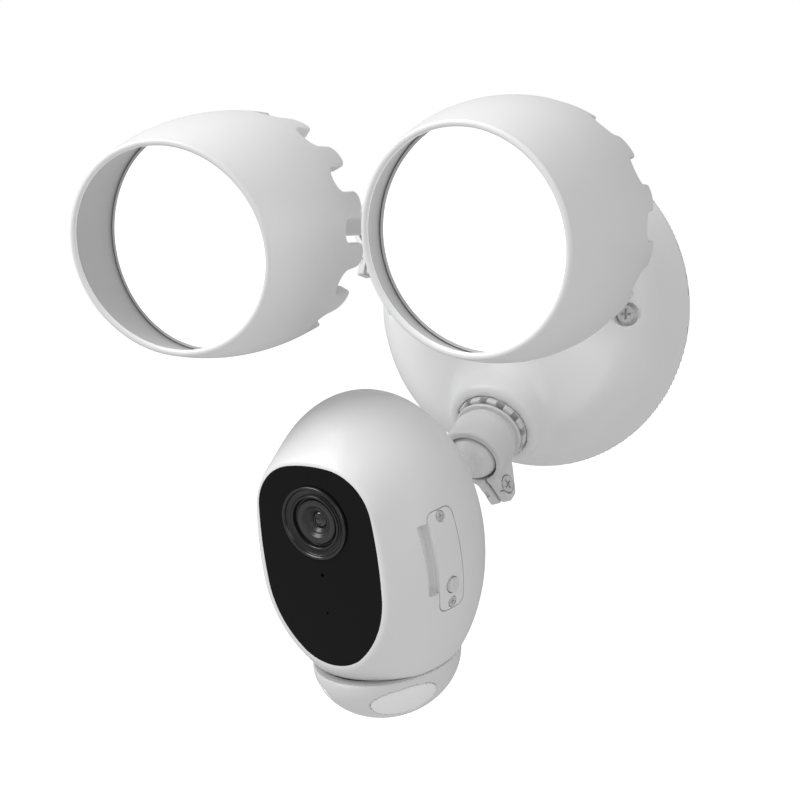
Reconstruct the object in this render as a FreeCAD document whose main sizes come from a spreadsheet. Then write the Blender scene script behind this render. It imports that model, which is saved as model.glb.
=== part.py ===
import FreeCAD, Part
import math
import os
import Sketcher

# Floodlight security camera: a round wall base, three ball-jointed arms, two lamps and a camera.
# Millimetres. The origin is the middle of the wall face. The wall is the plane Y = 0, the front of
# the product looks along -Y, +X is to the right when it is seen from the front, and +Z is up.

DRIVING = [
    # wall base, measured outwards from the wall
    ("base_radius", 70.0, "rim of the base at the wall"),
    ("shoulder_radius", 63.5, "where the tapered side turns into the rounded edge"),
    ("shoulder_height", 24.0, "height of that turn"),
    ("edge_round", 10.5, "radius of the rounded edge"),
    ("face_radius", 54.5, "edge of the nearly flat face"),
    ("face_height", 32.2, "height of the face at its edge"),
    ("crown_height", 38.0, "height of the face in the middle"),
    ("base_wall", 2.6, "wall of the base"),
    ("gasket_height", 1.6, "thickness of the foam gasket"),
    ("gasket_width", 4.0, "width of the foam gasket"),
    ("screw_offset", 53.4, "base screws from the middle"),
    ("recess_radius", 5.0, "recess round each base screw"),
    ("recess_depth", 4.0, "depth of that recess"),
    ("base_screw_radius", 1.95, "shank of a base screw"),
    ("base_head_radius", 3.6, "head of a base screw"),
    ("bracket_length", 118.0, "crossbar that is fixed to the junction box"),
    ("bracket_width", 28.0, "width of the crossbar"),
    ("bracket_thick", 1.6, "sheet of the crossbar"),
    ("slot_middle", 41.75, "middle of a fixing slot from the middle of the bar"),
    ("slot_travel", 8.0, "straight part of a fixing slot"),
    ("slot_radius", 2.3, "half the width of a fixing slot"),
    ("cable_hole", 8.0, "radius of the hole for the mains cable"),
    ("board_height", 9.0, "driver board above the wall"),
    # arms
    ("arm_spread", 56.9, "ball centres from the middle of the base"),
    ("arm_reach", 58.7, "ball centres in front of the wall"),
    ("arm_tilt", 30.0, "arms lean outwards, degrees"),
    ("lamp_arm_angle", 40.0, "lamp arms above the horizontal, degrees"),
    ("arm_radius", 13.5, "outside of an arm"),
    ("flange_radius", 14.2, "flange at the foot of an arm"),
    ("flange_low", 14.9, "flange underside below the ball centre"),
    ("neck_radius", 12.2, "groove above the flange"),
    ("mouth_height", 4.4, "mouth of the socket above the ball centre"),
    ("spindle_radius", 10.0, "turning spindle of an arm"),
    ("spindle_foot", 29.0, "end of the spindle below the ball centre"),
    ("cable_way", 6.0, "wire passage through an arm"),
    ("mound_radius", 19.5, "raised mound under each arm"),
    ("mound_top", 17.6, "top of the mound below the ball centre"),
    ("ring_radius", 15.2, "castellated lock ring"),
    ("ring_height", 4.4, "height of the lock ring"),
    ("ball_radius", 11.0, "ball of a ball stud"),
    ("seat_wall", 0.94, "wall of the friction seat behind the ball"),
    ("fit", 0.06, "running clearance on the radius"),
    ("stem_radius", 5.0, "stem of a ball stud"),
    ("wire_radius", 2.5, "wire passage through a ball stud"),
    ("lug_reach", 24.0, "clamp lug from the arm axis"),
    ("lug_width", 11.0, "clamp lug across its slot"),
    ("lug_screw", 18.0, "clamp screw from the arm axis"),
    # lamps, along their own axis from the widest section
    ("lamp_radius", 45.2, "widest part of a lamp"),
    ("front_round", 136.0, "curve of the shell in front of the widest part"),
    ("rear_round", 150.0, "curve of the shell and the petals behind the widest part"),
    ("lamp_front", 41.0, "middle of the rim in front of the widest part"),
    ("lamp_rear", 8.0, "back edge of the shell behind it"),
    ("shell_wall", 2.4, "wall of a lamp shell"),
    ("rim_inward", 9.0, "rim plane turned inwards, degrees"),
    ("rim_down", 7.0, "rim plane turned downwards, degrees"),
    ("diffuser_depth", 18.0, "diffuser in front of the widest part"),
    ("diffuser_radius", 40.2, "edge of the diffuser"),
    ("fin_tip", 26.0, "ends of the cooling petals"),
    ("fin_count", 14.0, "cooling petals"),
    ("lamp_offset", 72.0, "ball centre to the middle of the rear cap"),
    ("cap_middle", 24.0, "middle of the rear cap behind the widest part"),
    ("cap_radius", 18.0, "dome of the rear cap"),
    # camera head, in its own axes
    ("head_half_width", 41.0, "half the width"),
    ("head_half_depth", 45.0, "half the depth of the full egg"),
    ("head_half_height", 60.0, "top above the middle"),
    ("head_wall", 2.2, "wall of the head"),
    ("face_depth", 33.0, "flat face in front of the middle"),
    ("seam_drop", 43.5, "seam above the bowl, below the middle"),
    ("bowl_height", 24.0, "height of the sensor bowl"),
    ("panel_width", 51.6, "width of the dark face panel"),
    ("panel_top", 43.0, "top of the panel above the middle"),
    ("panel_bottom", 35.0, "bottom of the panel below the middle"),
    ("bezel", 2.0, "white edge round the panel"),
    ("lens_height", 21.5, "lens axis above the middle"),
    ("lens_radius", 14.0, "outside of the lens ring"),
    ("cover_length", 38.0, "card cover, up and down"),
    ("cover_width", 12.4, "card cover, front to back"),
    ("cover_y", -8.7, "middle of the card cover"),
    ("cover_z", 2.5, "middle of the card cover"),
    ("button_radius", 2.8, "reset button"),
    ("button_drop", 9.9, "reset button below the middle of the cover"),
]

doc = FreeCAD.newDocument("floodlight_camera")
sheet = doc.addObject("Spreadsheet::Sheet", "Dims")
for row, (alias, number, note) in enumerate(DRIVING, start=1):
    sheet.set("A%d" % row, note)
    sheet.set("B%d" % row, str(number))
    sheet.setAlias("B%d" % row, alias)
doc.recompute()

nodes = []


class Size:
    """A length or angle worked out from the sheet: its number now, and the formula that gives it."""

    def __init__(self, value, text):
        self.value = float(value)
        self.text = text

    def __add__(self, other):
        other = as_size(other)
        return Size(self.value + other.value, "(%s + %s)" % (self.text, other.text))

    def __sub__(self, other):
        other = as_size(other)
        return Size(self.value - other.value, "(%s - %s)" % (self.text, other.text))

    def __rsub__(self, other):
        return as_size(other) - self

    def __mul__(self, other):
        other = as_size(other)
        return Size(self.value * other.value, "(%s * %s)" % (self.text, other.text))

    def __truediv__(self, other):
        other = as_size(other)
        return Size(self.value / other.value, "(%s / %s)" % (self.text, other.text))

    def __neg__(self):
        return Size(-self.value, "(0 - %s)" % self.text)

    __radd__ = __add__
    __rmul__ = __mul__


def as_size(number):
    if isinstance(number, Size):
        return number
    return Size(number, "(0 - %r)" % -float(number) if number < 0 else repr(float(number)))


def root_of(size):
    """Square root of an area."""
    return Size(math.sqrt(size.value), "sqrt(%s)" % size.text)


class Sheet:
    """Reads the driving dimensions by name, as sizes that keep their formula."""

    def __getattr__(self, alias):
        return Size(sheet.get(alias), "Dims.%s" % alias)


D = Sheet()


def bind(thing, path, size):
    size = as_size(size)
    if "." not in path and "[" not in path:
        setattr(thing, path, size.value)
    thing.setExpression(path, size.text)


def put(thing, at, rotation=None):
    """Places a piece, with its position bound to the sheet."""
    if rotation is not None:
        thing.Placement = FreeCAD.Placement(FreeCAD.Vector(), rotation)
    for axis, size in zip("xyz", at):
        if isinstance(size, Size) or size != 0:
            bind(thing, "Placement.Base.%s" % axis, size)
    return thing


# Rotations that take the Z axis of a primitive to the axis named.
ALONG = {
    "X": FreeCAD.Rotation(FreeCAD.Vector(0, 1, 0), 90),
    "Y": FreeCAD.Rotation(FreeCAD.Vector(1, 0, 0), -90),
    "Z": FreeCAD.Rotation(),
}


def cylinder(name, radius, height, at=(0, 0, 0), along="Z"):
    piece = doc.addObject("Part::Cylinder", name)
    bind(piece, "Radius", radius)
    bind(piece, "Height", height)
    return put(piece, at, ALONG[along])


def cone(name, radius, tip, height, at=(0, 0, 0), along="Z"):
    piece = doc.addObject("Part::Cone", name)
    bind(piece, "Radius1", radius)
    bind(piece, "Radius2", tip)
    bind(piece, "Height", height)
    return put(piece, at, ALONG[along])


def box(name, x, y, z, middle=(0, 0, 0)):
    piece = doc.addObject("Part::Box", name)
    sizes = [as_size(x), as_size(y), as_size(z)]
    for path, size in zip(("Length", "Width", "Height"), sizes):
        bind(piece, path, size)
    return put(piece, [as_size(m) - size / 2 for m, size in zip(middle, sizes)])


def egg(name, half_width, half_depth, half_height, at=(0, 0, 0)):
    piece = doc.addObject("Part::Ellipsoid", name)
    bind(piece, "Radius1", half_height)
    bind(piece, "Radius2", half_width)
    bind(piece, "Radius3", half_depth)
    return put(piece, at)


def draw(sketch, steps):
    """Adds one closed outline. A step is (x, y) for a straight edge to that point, or
    (x, y, radius) for an arc to it: a positive radius turns to the left, a negative to the right."""
    corners = [(as_size(step[0]), as_size(step[1])) for step in steps]
    first = sketch.GeometryCount
    ends = []
    for index, step in enumerate(steps):
        start = FreeCAD.Vector(corners[index - 1][0].value, corners[index - 1][1].value, 0)
        end = FreeCAD.Vector(corners[index][0].value, corners[index][1].value, 0)
        if len(step) == 2:
            sketch.addGeometry(Part.LineSegment(start, end), False)
            ends.append((1, 2))
            continue
        radius = as_size(step[2]).value
        chord = end - start
        side = FreeCAD.Vector(-chord.y, chord.x, 0).normalize()
        lift = math.sqrt(max(radius ** 2 - (chord.Length / 2) ** 2, 0))
        centre = start + chord * 0.5 + side * math.copysign(lift, radius)
        circle = Part.Circle(centre, FreeCAD.Vector(0, 0, 1), abs(radius))
        a, b = (start, end) if radius > 0 else (end, start)
        turn = [math.atan2(point.y - centre.y, point.x - centre.x) for point in (a, b)]
        sketch.addGeometry(Part.ArcOfCircle(circle, turn[0], turn[1]), False)
        ends.append((1, 2) if radius > 0 else (2, 1))
    for index, step in enumerate(steps):
        edge = first + index
        following = first + (index + 1) % len(steps)
        joint = ends[(index + 1) % len(steps)][0]
        sketch.addConstraint(Sketcher.Constraint("Coincident", edge, ends[index][1], following, joint))
    for index, step in enumerate(steps):
        edge, end = first + index, ends[index][1]
        for kind, axis, size in (("DistanceX", -2, corners[index][0]), ("DistanceY", -1, corners[index][1])):
            if size.value == 0:
                sketch.addConstraint(Sketcher.Constraint("PointOnObject", edge, end, axis))
                continue
            place = sketch.addConstraint(Sketcher.Constraint(kind, -1, 1, edge, end, size.value))
            sketch.setExpression("Constraints[%d]" % place, size.text)
        if len(step) == 3:
            radius = as_size(step[2])
            text = radius.text if radius.value > 0 else "(0 - %s)" % radius.text
            place = sketch.addConstraint(Sketcher.Constraint("Radius", edge, abs(radius.value)))
            sketch.setExpression("Constraints[%d]" % place, text)


def sketch(name, *outlines, turn=None):
    piece = doc.addObject("Sketcher::SketchObject", name + "_outline")
    if turn is not None:
        piece.Placement = FreeCAD.Placement(FreeCAD.Vector(), turn)
    for steps in outlines:
        draw(piece, steps)
    return piece


UPRIGHT = FreeCAD.Rotation(FreeCAD.Vector(1, 0, 0), 90)


def revolved(name, *outlines):
    """Turns outlines of (radius, height) round the Z axis."""
    piece = doc.addObject("Part::Revolution", name)
    piece.Source = sketch(name, *outlines, turn=UPRIGHT)
    piece.Axis = (0, 0, 1)
    piece.Angle = 360
    piece.Solid = True
    return piece


def prism(name, thickness, *outlines, start=0, along="Z"):
    """Extrudes outlines: drawn in (x, y) along Z, in (x, z) along Y, or in (y, z) along X."""
    turns = {"Z": None, "Y": UPRIGHT, "X": FreeCAD.Rotation(0.5, 0.5, 0.5, 0.5)}
    directions = {"Z": (0, 0, 1), "Y": (0, 1, 0), "X": (1, 0, 0)}
    piece = doc.addObject("Part::Extrusion", name)
    piece.Base = sketch(name, *outlines, turn=turns[along])
    piece.DirMode = "Custom"
    piece.Dir = directions[along]
    bind(piece, "LengthFwd", thickness)
    piece.Solid = True
    at = [start if axis == along else 0 for axis in "XYZ"]
    return put(piece, at)


def rounded(width, height, radius, middle=(0, 0)):
    """Outline of a rectangle with rounded corners."""
    x0, x1 = middle[0] - as_size(width) / 2, middle[0] + as_size(width) / 2
    y0, y1 = middle[1] - as_size(height) / 2, middle[1] + as_size(height) / 2
    return [(x0, y0 + radius), (x0 + radius, y0, radius), (x1 - radius, y0), (x1, y0 + radius, radius),
            (x1, y1 - radius), (x1 - radius, y1, radius), (x0 + radius, y1), (x0, y1 - radius, radius)]


def join(name, *pieces):
    piece = doc.addObject("Part::MultiFuse", name)
    piece.Shapes = list(pieces)
    return piece


def cut(name, base, *tools):
    piece = doc.addObject("Part::Cut", name)
    piece.Base = base
    piece.Tool = tools[0] if len(tools) == 1 else join(name + "_tools", *tools)
    return piece


def common(name, first, second):
    piece = doc.addObject("Part::Common", name)
    piece.Base = first
    piece.Tool = second
    return piece


def group(name, *pieces):
    piece = doc.addObject("Part::Compound", name)
    piece.Links = list(pieces)
    return piece


def node(piece, name, frame=None):
    """Registers a finished sub-part under its name and puts it in its frame."""
    if any(path.startswith((".Placement", "Placement")) for path, text in piece.ExpressionEngine):
        piece = group(name + "_placed", piece)
    piece.Label = name
    if frame is not None:
        piece.Placement = frame.multiply(piece.Placement)
    nodes.append(piece)
    return piece


def placement(at, *turns):
    """A frame at a point. Each turn is an axis letter and an angle in degrees, applied inside out."""
    axes = {"X": FreeCAD.Vector(1, 0, 0), "Y": FreeCAD.Vector(0, 1, 0), "Z": FreeCAD.Vector(0, 0, 1)}
    rotation = FreeCAD.Rotation()
    for axis, angle in turns:
        rotation = rotation.multiply(FreeCAD.Rotation(axes[axis], angle))
    return FreeCAD.Placement(FreeCAD.Vector(*at), rotation)


# ---------------------------------------------------------------------------------------------
# Frames. In the base and arm frames Z points away from the wall. A lamp's Z points backwards and
# its Y down. The camera's axes are X right, Y back, Z up.

BASE = placement((0, 0, 0), ("X", 90))
ARM_ANGLE = {"left_lamp": 180 - D.lamp_arm_angle.value, "right_lamp": D.lamp_arm_angle.value, "camera": -90}
LUG_TURN = {"left_lamp": 134, "right_lamp": -36, "camera": 20}
STEM_AIM = {"left_lamp": (-8.5, 0.5), "right_lamp": (12.0, -1.5), "camera": (-5.0, 21.2)}
CAMERA_PITCH = 12.0
CAMERA_OFFSET = 78.1
CAMERA_LIFT = 2.5
LAMP_INWARD = 7.0
LAMP_DOWN = 4.0


def ball_centre(arm):
    angle = math.radians(ARM_ANGLE[arm])
    spread = D.arm_spread.value
    return (spread * math.cos(angle), -D.arm_reach.value, spread * math.sin(angle))


def arm_frame(arm, turn=0.0):
    return placement(ball_centre(arm), ("X", 90), ("Z", ARM_ANGLE[arm]), ("Y", D.arm_tilt.value), ("Z", turn))


def stem_frame(arm):
    """Origin at the ball centre, Z along the stem towards the head, Y up."""
    yaw, pitch = STEM_AIM[arm]
    return placement(ball_centre(arm), ("Z", yaw), ("X", pitch), ("X", 90))


def lamp_frame(arm):
    yaw, pitch = STEM_AIM[arm]
    inward = LAMP_INWARD if arm == "left_lamp" else -LAMP_INWARD
    cap = stem_frame(arm).multVec(FreeCAD.Vector(0, 0, D.lamp_offset.value))
    turned = placement(cap, ("Z", yaw + inward), ("X", pitch + LAMP_DOWN), ("X", -90))
    return turned.multiply(placement((0, 0, -D.cap_middle.value)))


def camera_frame():
    yaw, pitch = STEM_AIM["camera"]
    middle = stem_frame("camera").multVec(FreeCAD.Vector(0, 0, CAMERA_OFFSET))
    return placement(middle, ("Z", yaw), ("X", CAMERA_PITCH)).multiply(placement((0, 0, CAMERA_LIFT)))


def boss_frame(arm):
    """An arm's frame seen from the base frame."""
    return BASE.inverse().multiply(arm_frame(arm))


# ---------------------------------------------------------------------------------------------
# PartDesign helpers, for pieces that are made as a body with features.

def new_body(name):
    return doc.addObject("PartDesign::Body", name)


def origin_of(body, role):
    return [feature for feature in body.Origin.OriginFeatures if feature.Role == role][0]


def body_sketch(body, name, plane, *outlines):
    piece = body.newObject("Sketcher::SketchObject", name)
    piece.AttachmentSupport = [(origin_of(body, plane), "")]
    piece.MapMode = "FlatFace"
    for steps in outlines:
        draw(piece, steps)
    return piece


def body_pad(body, name, height, *outlines):
    pad = body.newObject("PartDesign::Pad", name)
    pad.Profile = body_sketch(body, name + "_outline", "XY_Plane", *outlines)
    bind(pad, "Length", height)
    return pad


def body_pocket(body, name, plane, *outlines, reverse=False):
    """Cuts all the way from the plane. From XY it cuts upwards, and from YZ towards +X."""
    pocket = body.newObject("PartDesign::Pocket", name)
    pocket.Profile = body_sketch(body, name + "_outline", plane, *outlines)
    pocket.Type = 1
    pocket.Reversed = reverse
    return pocket


def body_pattern(body, name, feature, count):
    """Repeats a feature round the body's Z axis."""
    pattern = body.newObject("PartDesign::PolarPattern", name)
    pattern.Originals = [feature]
    pattern.Axis = (origin_of(body, "Z_Axis"), [""])
    pattern.Angle = 360
    pattern.Occurrences = int(as_size(count).value)
    pattern.setExpression("Occurrences", as_size(count).text)
    body.Tip = pattern
    return pattern


def disc(radius, middle=(0, 0)):
    """Outline of a full circle."""
    x, y = as_size(middle[0]), as_size(middle[1])
    return [(x + radius, y, radius), (x, y + radius, radius),
            (x - radius, y, radius), (x, y - radius, radius)]


def slot(travel, radius, middle=(0, 0)):
    """Outline of a straight slot with round ends, along X."""
    left = middle[0] - travel / 2
    right = middle[0] + travel / 2
    return [(left - radius, 0, radius), (left, -radius, radius), (right, -radius),
            (right + radius, 0, radius), (right, radius, radius), (left, radius)]


def cross_recess(name, width, depth, at, along="Z"):
    """The two crossed slots of a screw head, sunk below the point given."""
    long, short = width, width * 0.22
    sizes = {"Z": ((long, short, depth), (short, long, depth)),
             "Y": ((long, depth, short), (short, depth, long)),
             "X": ((depth, long, short), (depth, short, long))}[along]
    return [box("%s_slot_%d" % (name, index), *size, middle=at) for index, size in enumerate(sizes)]


# ---------------------------------------------------------------------------------------------
# Wall base.

FOOT_STEP = 1.5
STANDOFFS = [(-34, -20), (34, -20), (-12, 24), (12, 24)]
SCREW_SIDES = (-1, 1)
PLATE_LOW = 25.0


def dome_radius(edge, rise):
    """Radius of a dome, from the radius of its edge and how far its middle rises above it."""
    return (as_size(edge) * edge + as_size(rise) * rise) / (as_size(rise) * 2)


def base_housing():
    gasket, wall = D.gasket_height, D.base_wall
    rise = D.crown_height - D.face_height
    dome = revolved("base_dome", [
        (0, gasket), (D.base_radius, gasket), (D.base_radius, gasket + FOOT_STEP),
        (D.shoulder_radius, D.shoulder_height), (D.face_radius, D.face_height, D.edge_round),
        (0, D.crown_height, dome_radius(D.face_radius, rise))])
    room = revolved("base_room", [
        (0, 0), (D.base_radius - wall, 0), (D.base_radius - wall, gasket + FOOT_STEP),
        (D.shoulder_radius - wall, D.shoulder_height),
        (D.face_radius - wall, D.face_height - wall, D.edge_round),
        (0, D.crown_height - wall, dome_radius(D.face_radius - wall, rise))])
    mounds, hollows, bores, plates = [], [], [], []
    for arm in ARM_ANGLE:
        radius, top = D.mound_radius, -D.mound_top
        mound = revolved(arm + "_mound", [
            (0, -42), (radius + 2.5, -42), (radius, top - 3), (radius - 3, top, 3), (0, top)])
        hollow = revolved(arm + "_mound_hollow", [
            (0, -48), (radius - wall, -48), (radius - wall, -PLATE_LOW), (0, -PLATE_LOW)])
        bore = revolved(arm + "_bore", [
            (0, -30), (D.spindle_radius + D.fit, -30), (D.spindle_radius + D.fit, top - 2),
            (D.ring_radius + 0.1, top - 2), (D.ring_radius + 0.1, 0), (0, 0)])
        plate = revolved(arm + "_mound_plate", [
            (0, -PLATE_LOW), (radius - wall, -PLATE_LOW), (radius - wall, top - 1), (0, top - 1)])
        for piece, pieces in ((mound, mounds), (hollow, hollows), (bore, bores), (plate, plates)):
            piece.Placement = boss_frame(arm)
            pieces.append(piece)
    posts = [cylinder("screw_post_%d" % side, D.recess_radius + 2.4, 50, (D.screw_offset * side, 0, 0))
             for side in SCREW_SIDES]
    posts += [cylinder("board_post_%d" % index, 3, 50, (x, y, D.board_height + 1.6))
              for index, (x, y) in enumerate(STANDOFFS)]
    trims = []
    floor = D.face_height - D.recess_depth
    for side in SCREW_SIDES:
        trims.append(cylinder("recess_%d" % side, D.recess_radius, 20, (D.screw_offset * side, 0, floor)))
        trims.append(cylinder("screw_way_%d" % side, D.base_screw_radius + 0.15, 60,
                              (D.screw_offset * side, 0, -1)))
        trims.append(cylinder("post_foot_%d" % side, D.recess_radius + 3, gasket,
                              (D.screw_offset * side, 0, 0)))
    room = cut("base_cavity", join("base_hollow", room, *hollows), join("base_posts", *posts, *plates))
    solid = join("base_solid", dome, *mounds)
    return node(cut("base_shell", solid, room, *bores, *trims), "base_housing", BASE)


def wall_gasket():
    outer = D.base_radius - 0.5
    inner = outer - D.gasket_width
    height = D.gasket_height
    ring = revolved("gasket_ring", [(inner, 0), (outer, 0), (outer, height), (inner, height)])
    return node(ring, "wall_gasket", BASE)


def mounting_bracket():
    body = new_body("bracket_body")
    body_pad(body, "bracket_bar", D.bracket_thick, rounded(D.bracket_length, D.bracket_width, 6))
    holes = [disc(D.cable_hole)]
    for side in SCREW_SIDES:
        holes.append(slot(D.slot_travel, D.slot_radius, (D.slot_middle * side, 0)))
        holes.append(disc(D.base_screw_radius, (D.screw_offset * side, 0)))
    body.Tip = body_pocket(body, "bracket_holes", "XY_Plane", *holes, reverse=True)
    return node(body, "mounting_bracket", BASE)


def cable_grommet():
    thick, hole = D.bracket_thick, D.cable_hole
    ring = revolved("grommet_ring", [
        (hole - 3.5, 0), (hole, 0), (hole, thick), (hole + 3, thick), (hole + 3, thick + 1.4),
        (hole + 2, thick + 2.4, 1.2), (hole - 3.5, thick + 2.4)])
    return node(ring, "cable_grommet", BASE)


def housing_screws():
    screws = []
    floor = D.face_height - D.recess_depth
    for side in SCREW_SIDES:
        x = D.screw_offset * side
        name = "base_screw_%d" % side
        shank = cylinder(name + "_shank", D.base_screw_radius, floor, (x, 0, 0))
        head = cylinder(name + "_head", D.base_head_radius, 2.4, (x, 0, floor))
        recess = cross_recess(name, D.base_head_radius * 1.2, 2.4, (x, 0, floor + 2.4))
        screws.append(cut(name, join(name + "_solid", shank, head), *recess))
    return node(group("base_screws", *screws), "housing_screws", BASE)


BOARD_THICK = 1.6


def driver_board():
    board = prism("driver_plate", BOARD_THICK, rounded(80, 56, 4), start=D.board_height)
    return node(board, "driver_board", BASE)


def driver_parts():
    top = D.board_height + BOARD_THICK
    pieces = [box("transformer", 24, 20, 14, (-10, 0, top + 7)),
              box("relay", 12, 8, 9, (30, -6, top + 4.5)),
              cylinder("capacitor_0", 5, 14, (13, -7, top)),
              cylinder("capacitor_1", 5, 14, (13, 5, top)),
              cylinder("coil", 4.5, 9, (-30, -6, top))]
    return node(group("driver_group", *pieces), "driver_parts", BASE)


def terminal_block():
    top = D.board_height + BOARD_THICK
    block = box("terminal_body", 26, 10, 9, (0, -20, top + 4.5))
    places = (-8, 0, 8)
    ways = [cylinder("terminal_way_%d" % index, 1.7, 8, (x, -27, top + 4), "Y")
            for index, x in enumerate(places)]
    heads = [cylinder("terminal_head_%d" % index, 2, 3, (x, -20, top + 7)) for index, x in enumerate(places)]
    return node(cut("terminal", block, *ways, *heads), "terminal_block", BASE)


RING_TEETH = 12
TOOTH_GAP = 3.4
TOOTH_DEPTH = 2.6


def lock_ring(arm):
    """Castellated ring that locks an arm in its mound."""
    body = new_body(arm + "_ring_body")
    inner = D.spindle_radius + 0.3
    body_pad(body, arm + "_ring", D.ring_height, disc(D.ring_radius), disc(inner))
    half = TOOTH_GAP / 2
    notch = [(-half, D.ring_height - TOOTH_DEPTH), (half, D.ring_height - TOOTH_DEPTH),
             (half, D.ring_height + 1), (-half, D.ring_height + 1)]
    gap = body_pocket(body, arm + "_ring_gap", "YZ_Plane", notch, reverse=True)
    body_pattern(body, arm + "_ring_gaps", gap, RING_TEETH)
    body.Placement = boss_frame(arm).multiply(placement((0, 0, -D.mound_top.value - 2)))
    return body


def lock_rings():
    return node(group("ring_group", *[lock_ring(arm) for arm in ARM_ANGLE]), "lock_rings", BASE)


# ---------------------------------------------------------------------------------------------
# Arms. The ball centre is the origin, and X is the direction of the clamp lug.

LIP_LOW = 1.3
LUG_SCREW_HEIGHT = 0.2
SEAT_TOP = 6.3
SEAT_HOLE = 7.0
CLAMP_SEAT = 3.0


def on_sphere(radius, height):
    """Radius of a sphere's section at a height from its centre."""
    return root_of(radius * radius - as_size(height) * height)


def swivel_arm(arm):
    low, mouth = -D.flange_low, D.mouth_height
    socket = D.ball_radius + D.fit
    seat_room = socket + D.seat_wall + D.fit
    tube = revolved(arm + "_arm_tube", [
        (D.cable_way, -D.spindle_foot), (D.spindle_radius - 0.4, -D.spindle_foot),
        (D.spindle_radius + 1.2, 1.8 - D.spindle_foot), (D.spindle_radius + 1.2, -PLATE_LOW - 0.3),
        (D.spindle_radius, -PLATE_LOW - 0.3), (D.spindle_radius, low), (D.flange_radius, low),
        (D.flange_radius, low + 1.5), (D.neck_radius, low + 1.9), (D.neck_radius, low + 3.5),
        (D.arm_radius, low + 4.3), (D.arm_radius, mouth - 0.8), (D.arm_radius - 0.8, mouth),
        (on_sphere(socket, mouth), mouth), (on_sphere(socket, LIP_LOW), LIP_LOW, -socket),
        (on_sphere(seat_room, LIP_LOW), LIP_LOW),
        (D.cable_way, -on_sphere(seat_room, D.cable_way), -seat_room)])
    reach, width = D.lug_reach, D.lug_width
    lug = prism(arm + "_lug", width, [
        (12.1, -9.6), (16.5, -7.6), (reach, -0.6), (reach, mouth - 1), (reach - 1, mouth), (12.1, mouth)],
        start=-(width / 2), along="Y")
    slit = box(arm + "_slit", 17, 1.4, 16, (17.5, 0, -1.9))
    at = D.lug_screw
    way = cylinder(arm + "_lug_way", 2.05, 20, (at, -10, LUG_SCREW_HEIGHT), "Y")
    seat = cylinder(arm + "_lug_seat", 3.8, 6, (at, CLAMP_SEAT, LUG_SCREW_HEIGHT), "Y")
    nut_room = hexagon(arm + "_nut_room", 4.14, 6, at, -CLAMP_SEAT - 6)
    solid = join(arm + "_arm_solid", tube, lug)
    piece = cut(arm + "_arm_cut", solid, slit, way, seat, nut_room)
    return node(piece, arm + "_arm", arm_frame(arm, LUG_TURN[arm]))


def hexagon(name, corner_radius, height, x, y):
    """Six-sided prism along Y, with flats up and down."""
    piece = doc.addObject("Part::Prism", name)
    piece.Polygon = 6
    bind(piece, "Circumradius", corner_radius)
    bind(piece, "Height", height)
    return put(piece, (x, y, LUG_SCREW_HEIGHT), ALONG["Y"])


def clamp_screw(arm):
    name = arm + "_screw"
    at = D.lug_screw
    shank = cylinder(name + "_shank", 2.0, CLAMP_SEAT + 5.4, (at, -5.4, LUG_SCREW_HEIGHT), "Y")
    head = cylinder(name + "_head", 3.5, 2.4, (at, CLAMP_SEAT, LUG_SCREW_HEIGHT), "Y")
    recess = cross_recess(name, 4.4, 2.4, (at, CLAMP_SEAT + 2.4, LUG_SCREW_HEIGHT), "Y")
    piece = cut(name, join(name + "_solid", shank, head), *recess)
    return node(piece, arm + "_clamp_screw", arm_frame(arm, LUG_TURN[arm]))


def clamp_nut(arm):
    name = arm + "_nut"
    outer = hexagon(name + "_hexagon", 4.04, 2.4, D.lug_screw, -CLAMP_SEAT - 2.4)
    hole = cylinder(name + "_hole", 2.05, 6, (D.lug_screw, -7, LUG_SCREW_HEIGHT), "Y")
    return node(cut(name, outer, hole), arm + "_clamp_nut", arm_frame(arm, LUG_TURN[arm]))


def ball_seat(arm):
    """Friction seat: a spherical cup behind the ball."""
    inner = D.ball_radius + D.fit
    outer = inner + D.seat_wall
    cup = revolved(arm + "_seat", [
        (SEAT_HOLE, -on_sphere(inner, SEAT_HOLE), -inner), (SEAT_HOLE, -on_sphere(outer, SEAT_HOLE)),
        (on_sphere(outer, SEAT_TOP), -SEAT_TOP, outer), (on_sphere(inner, SEAT_TOP), -SEAT_TOP)])
    return node(cup, arm + "_ball_seat", arm_frame(arm))


STUD_COLLAR = {"left_lamp": 58.9, "right_lamp": 58.9, "camera": 46.0}


def ball_stud(arm):
    """Ball, stem and inner collar in one turned piece, bored for the wires."""
    wire, stem, ball = D.wire_radius, D.stem_radius, D.ball_radius
    start = STUD_COLLAR[arm]
    stud = revolved(arm + "_stud", [
        (wire, -on_sphere(ball, wire)), (stem, on_sphere(ball, stem), ball), (stem, start),
        (stem + 3, start), (stem + 3, start + 3), (wire, start + 3)])
    return node(stud, arm + "_ball_stud", stem_frame(arm))


# ---------------------------------------------------------------------------------------------
# Lamps. Z points backwards from the widest section, X to the right, Y down.

LAMPS = ("left_lamp", "right_lamp")
FRONT_SPARE = 12.0
BOARD_Z = 3.4
PLATE_TOP = 10.0
LED_RINGS = ((0.0, 1), (11.0, 6), (22.0, 12))


def shell_outline():
    """Closed outline of the lamp's curved wall, with the front left long for the slanted rim."""
    front = D.lamp_front + FRONT_SPARE
    inside = D.shell_wall

    def ahead(depth, z):
        return on_sphere(D.front_round - depth, z) + (D.lamp_radius - D.front_round)

    def behind(depth, z):
        return on_sphere(D.rear_round - depth, z) + (D.lamp_radius - D.rear_round)
    return [
        (ahead(inside, front), -front, inside - D.front_round), (ahead(0, front), -front),
        (D.lamp_radius, 0, D.front_round), (behind(0, D.lamp_rear), D.lamp_rear, D.rear_round),
        (behind(inside, D.lamp_rear), D.lamp_rear), (D.lamp_radius - inside, 0, inside - D.rear_round)]


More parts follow.
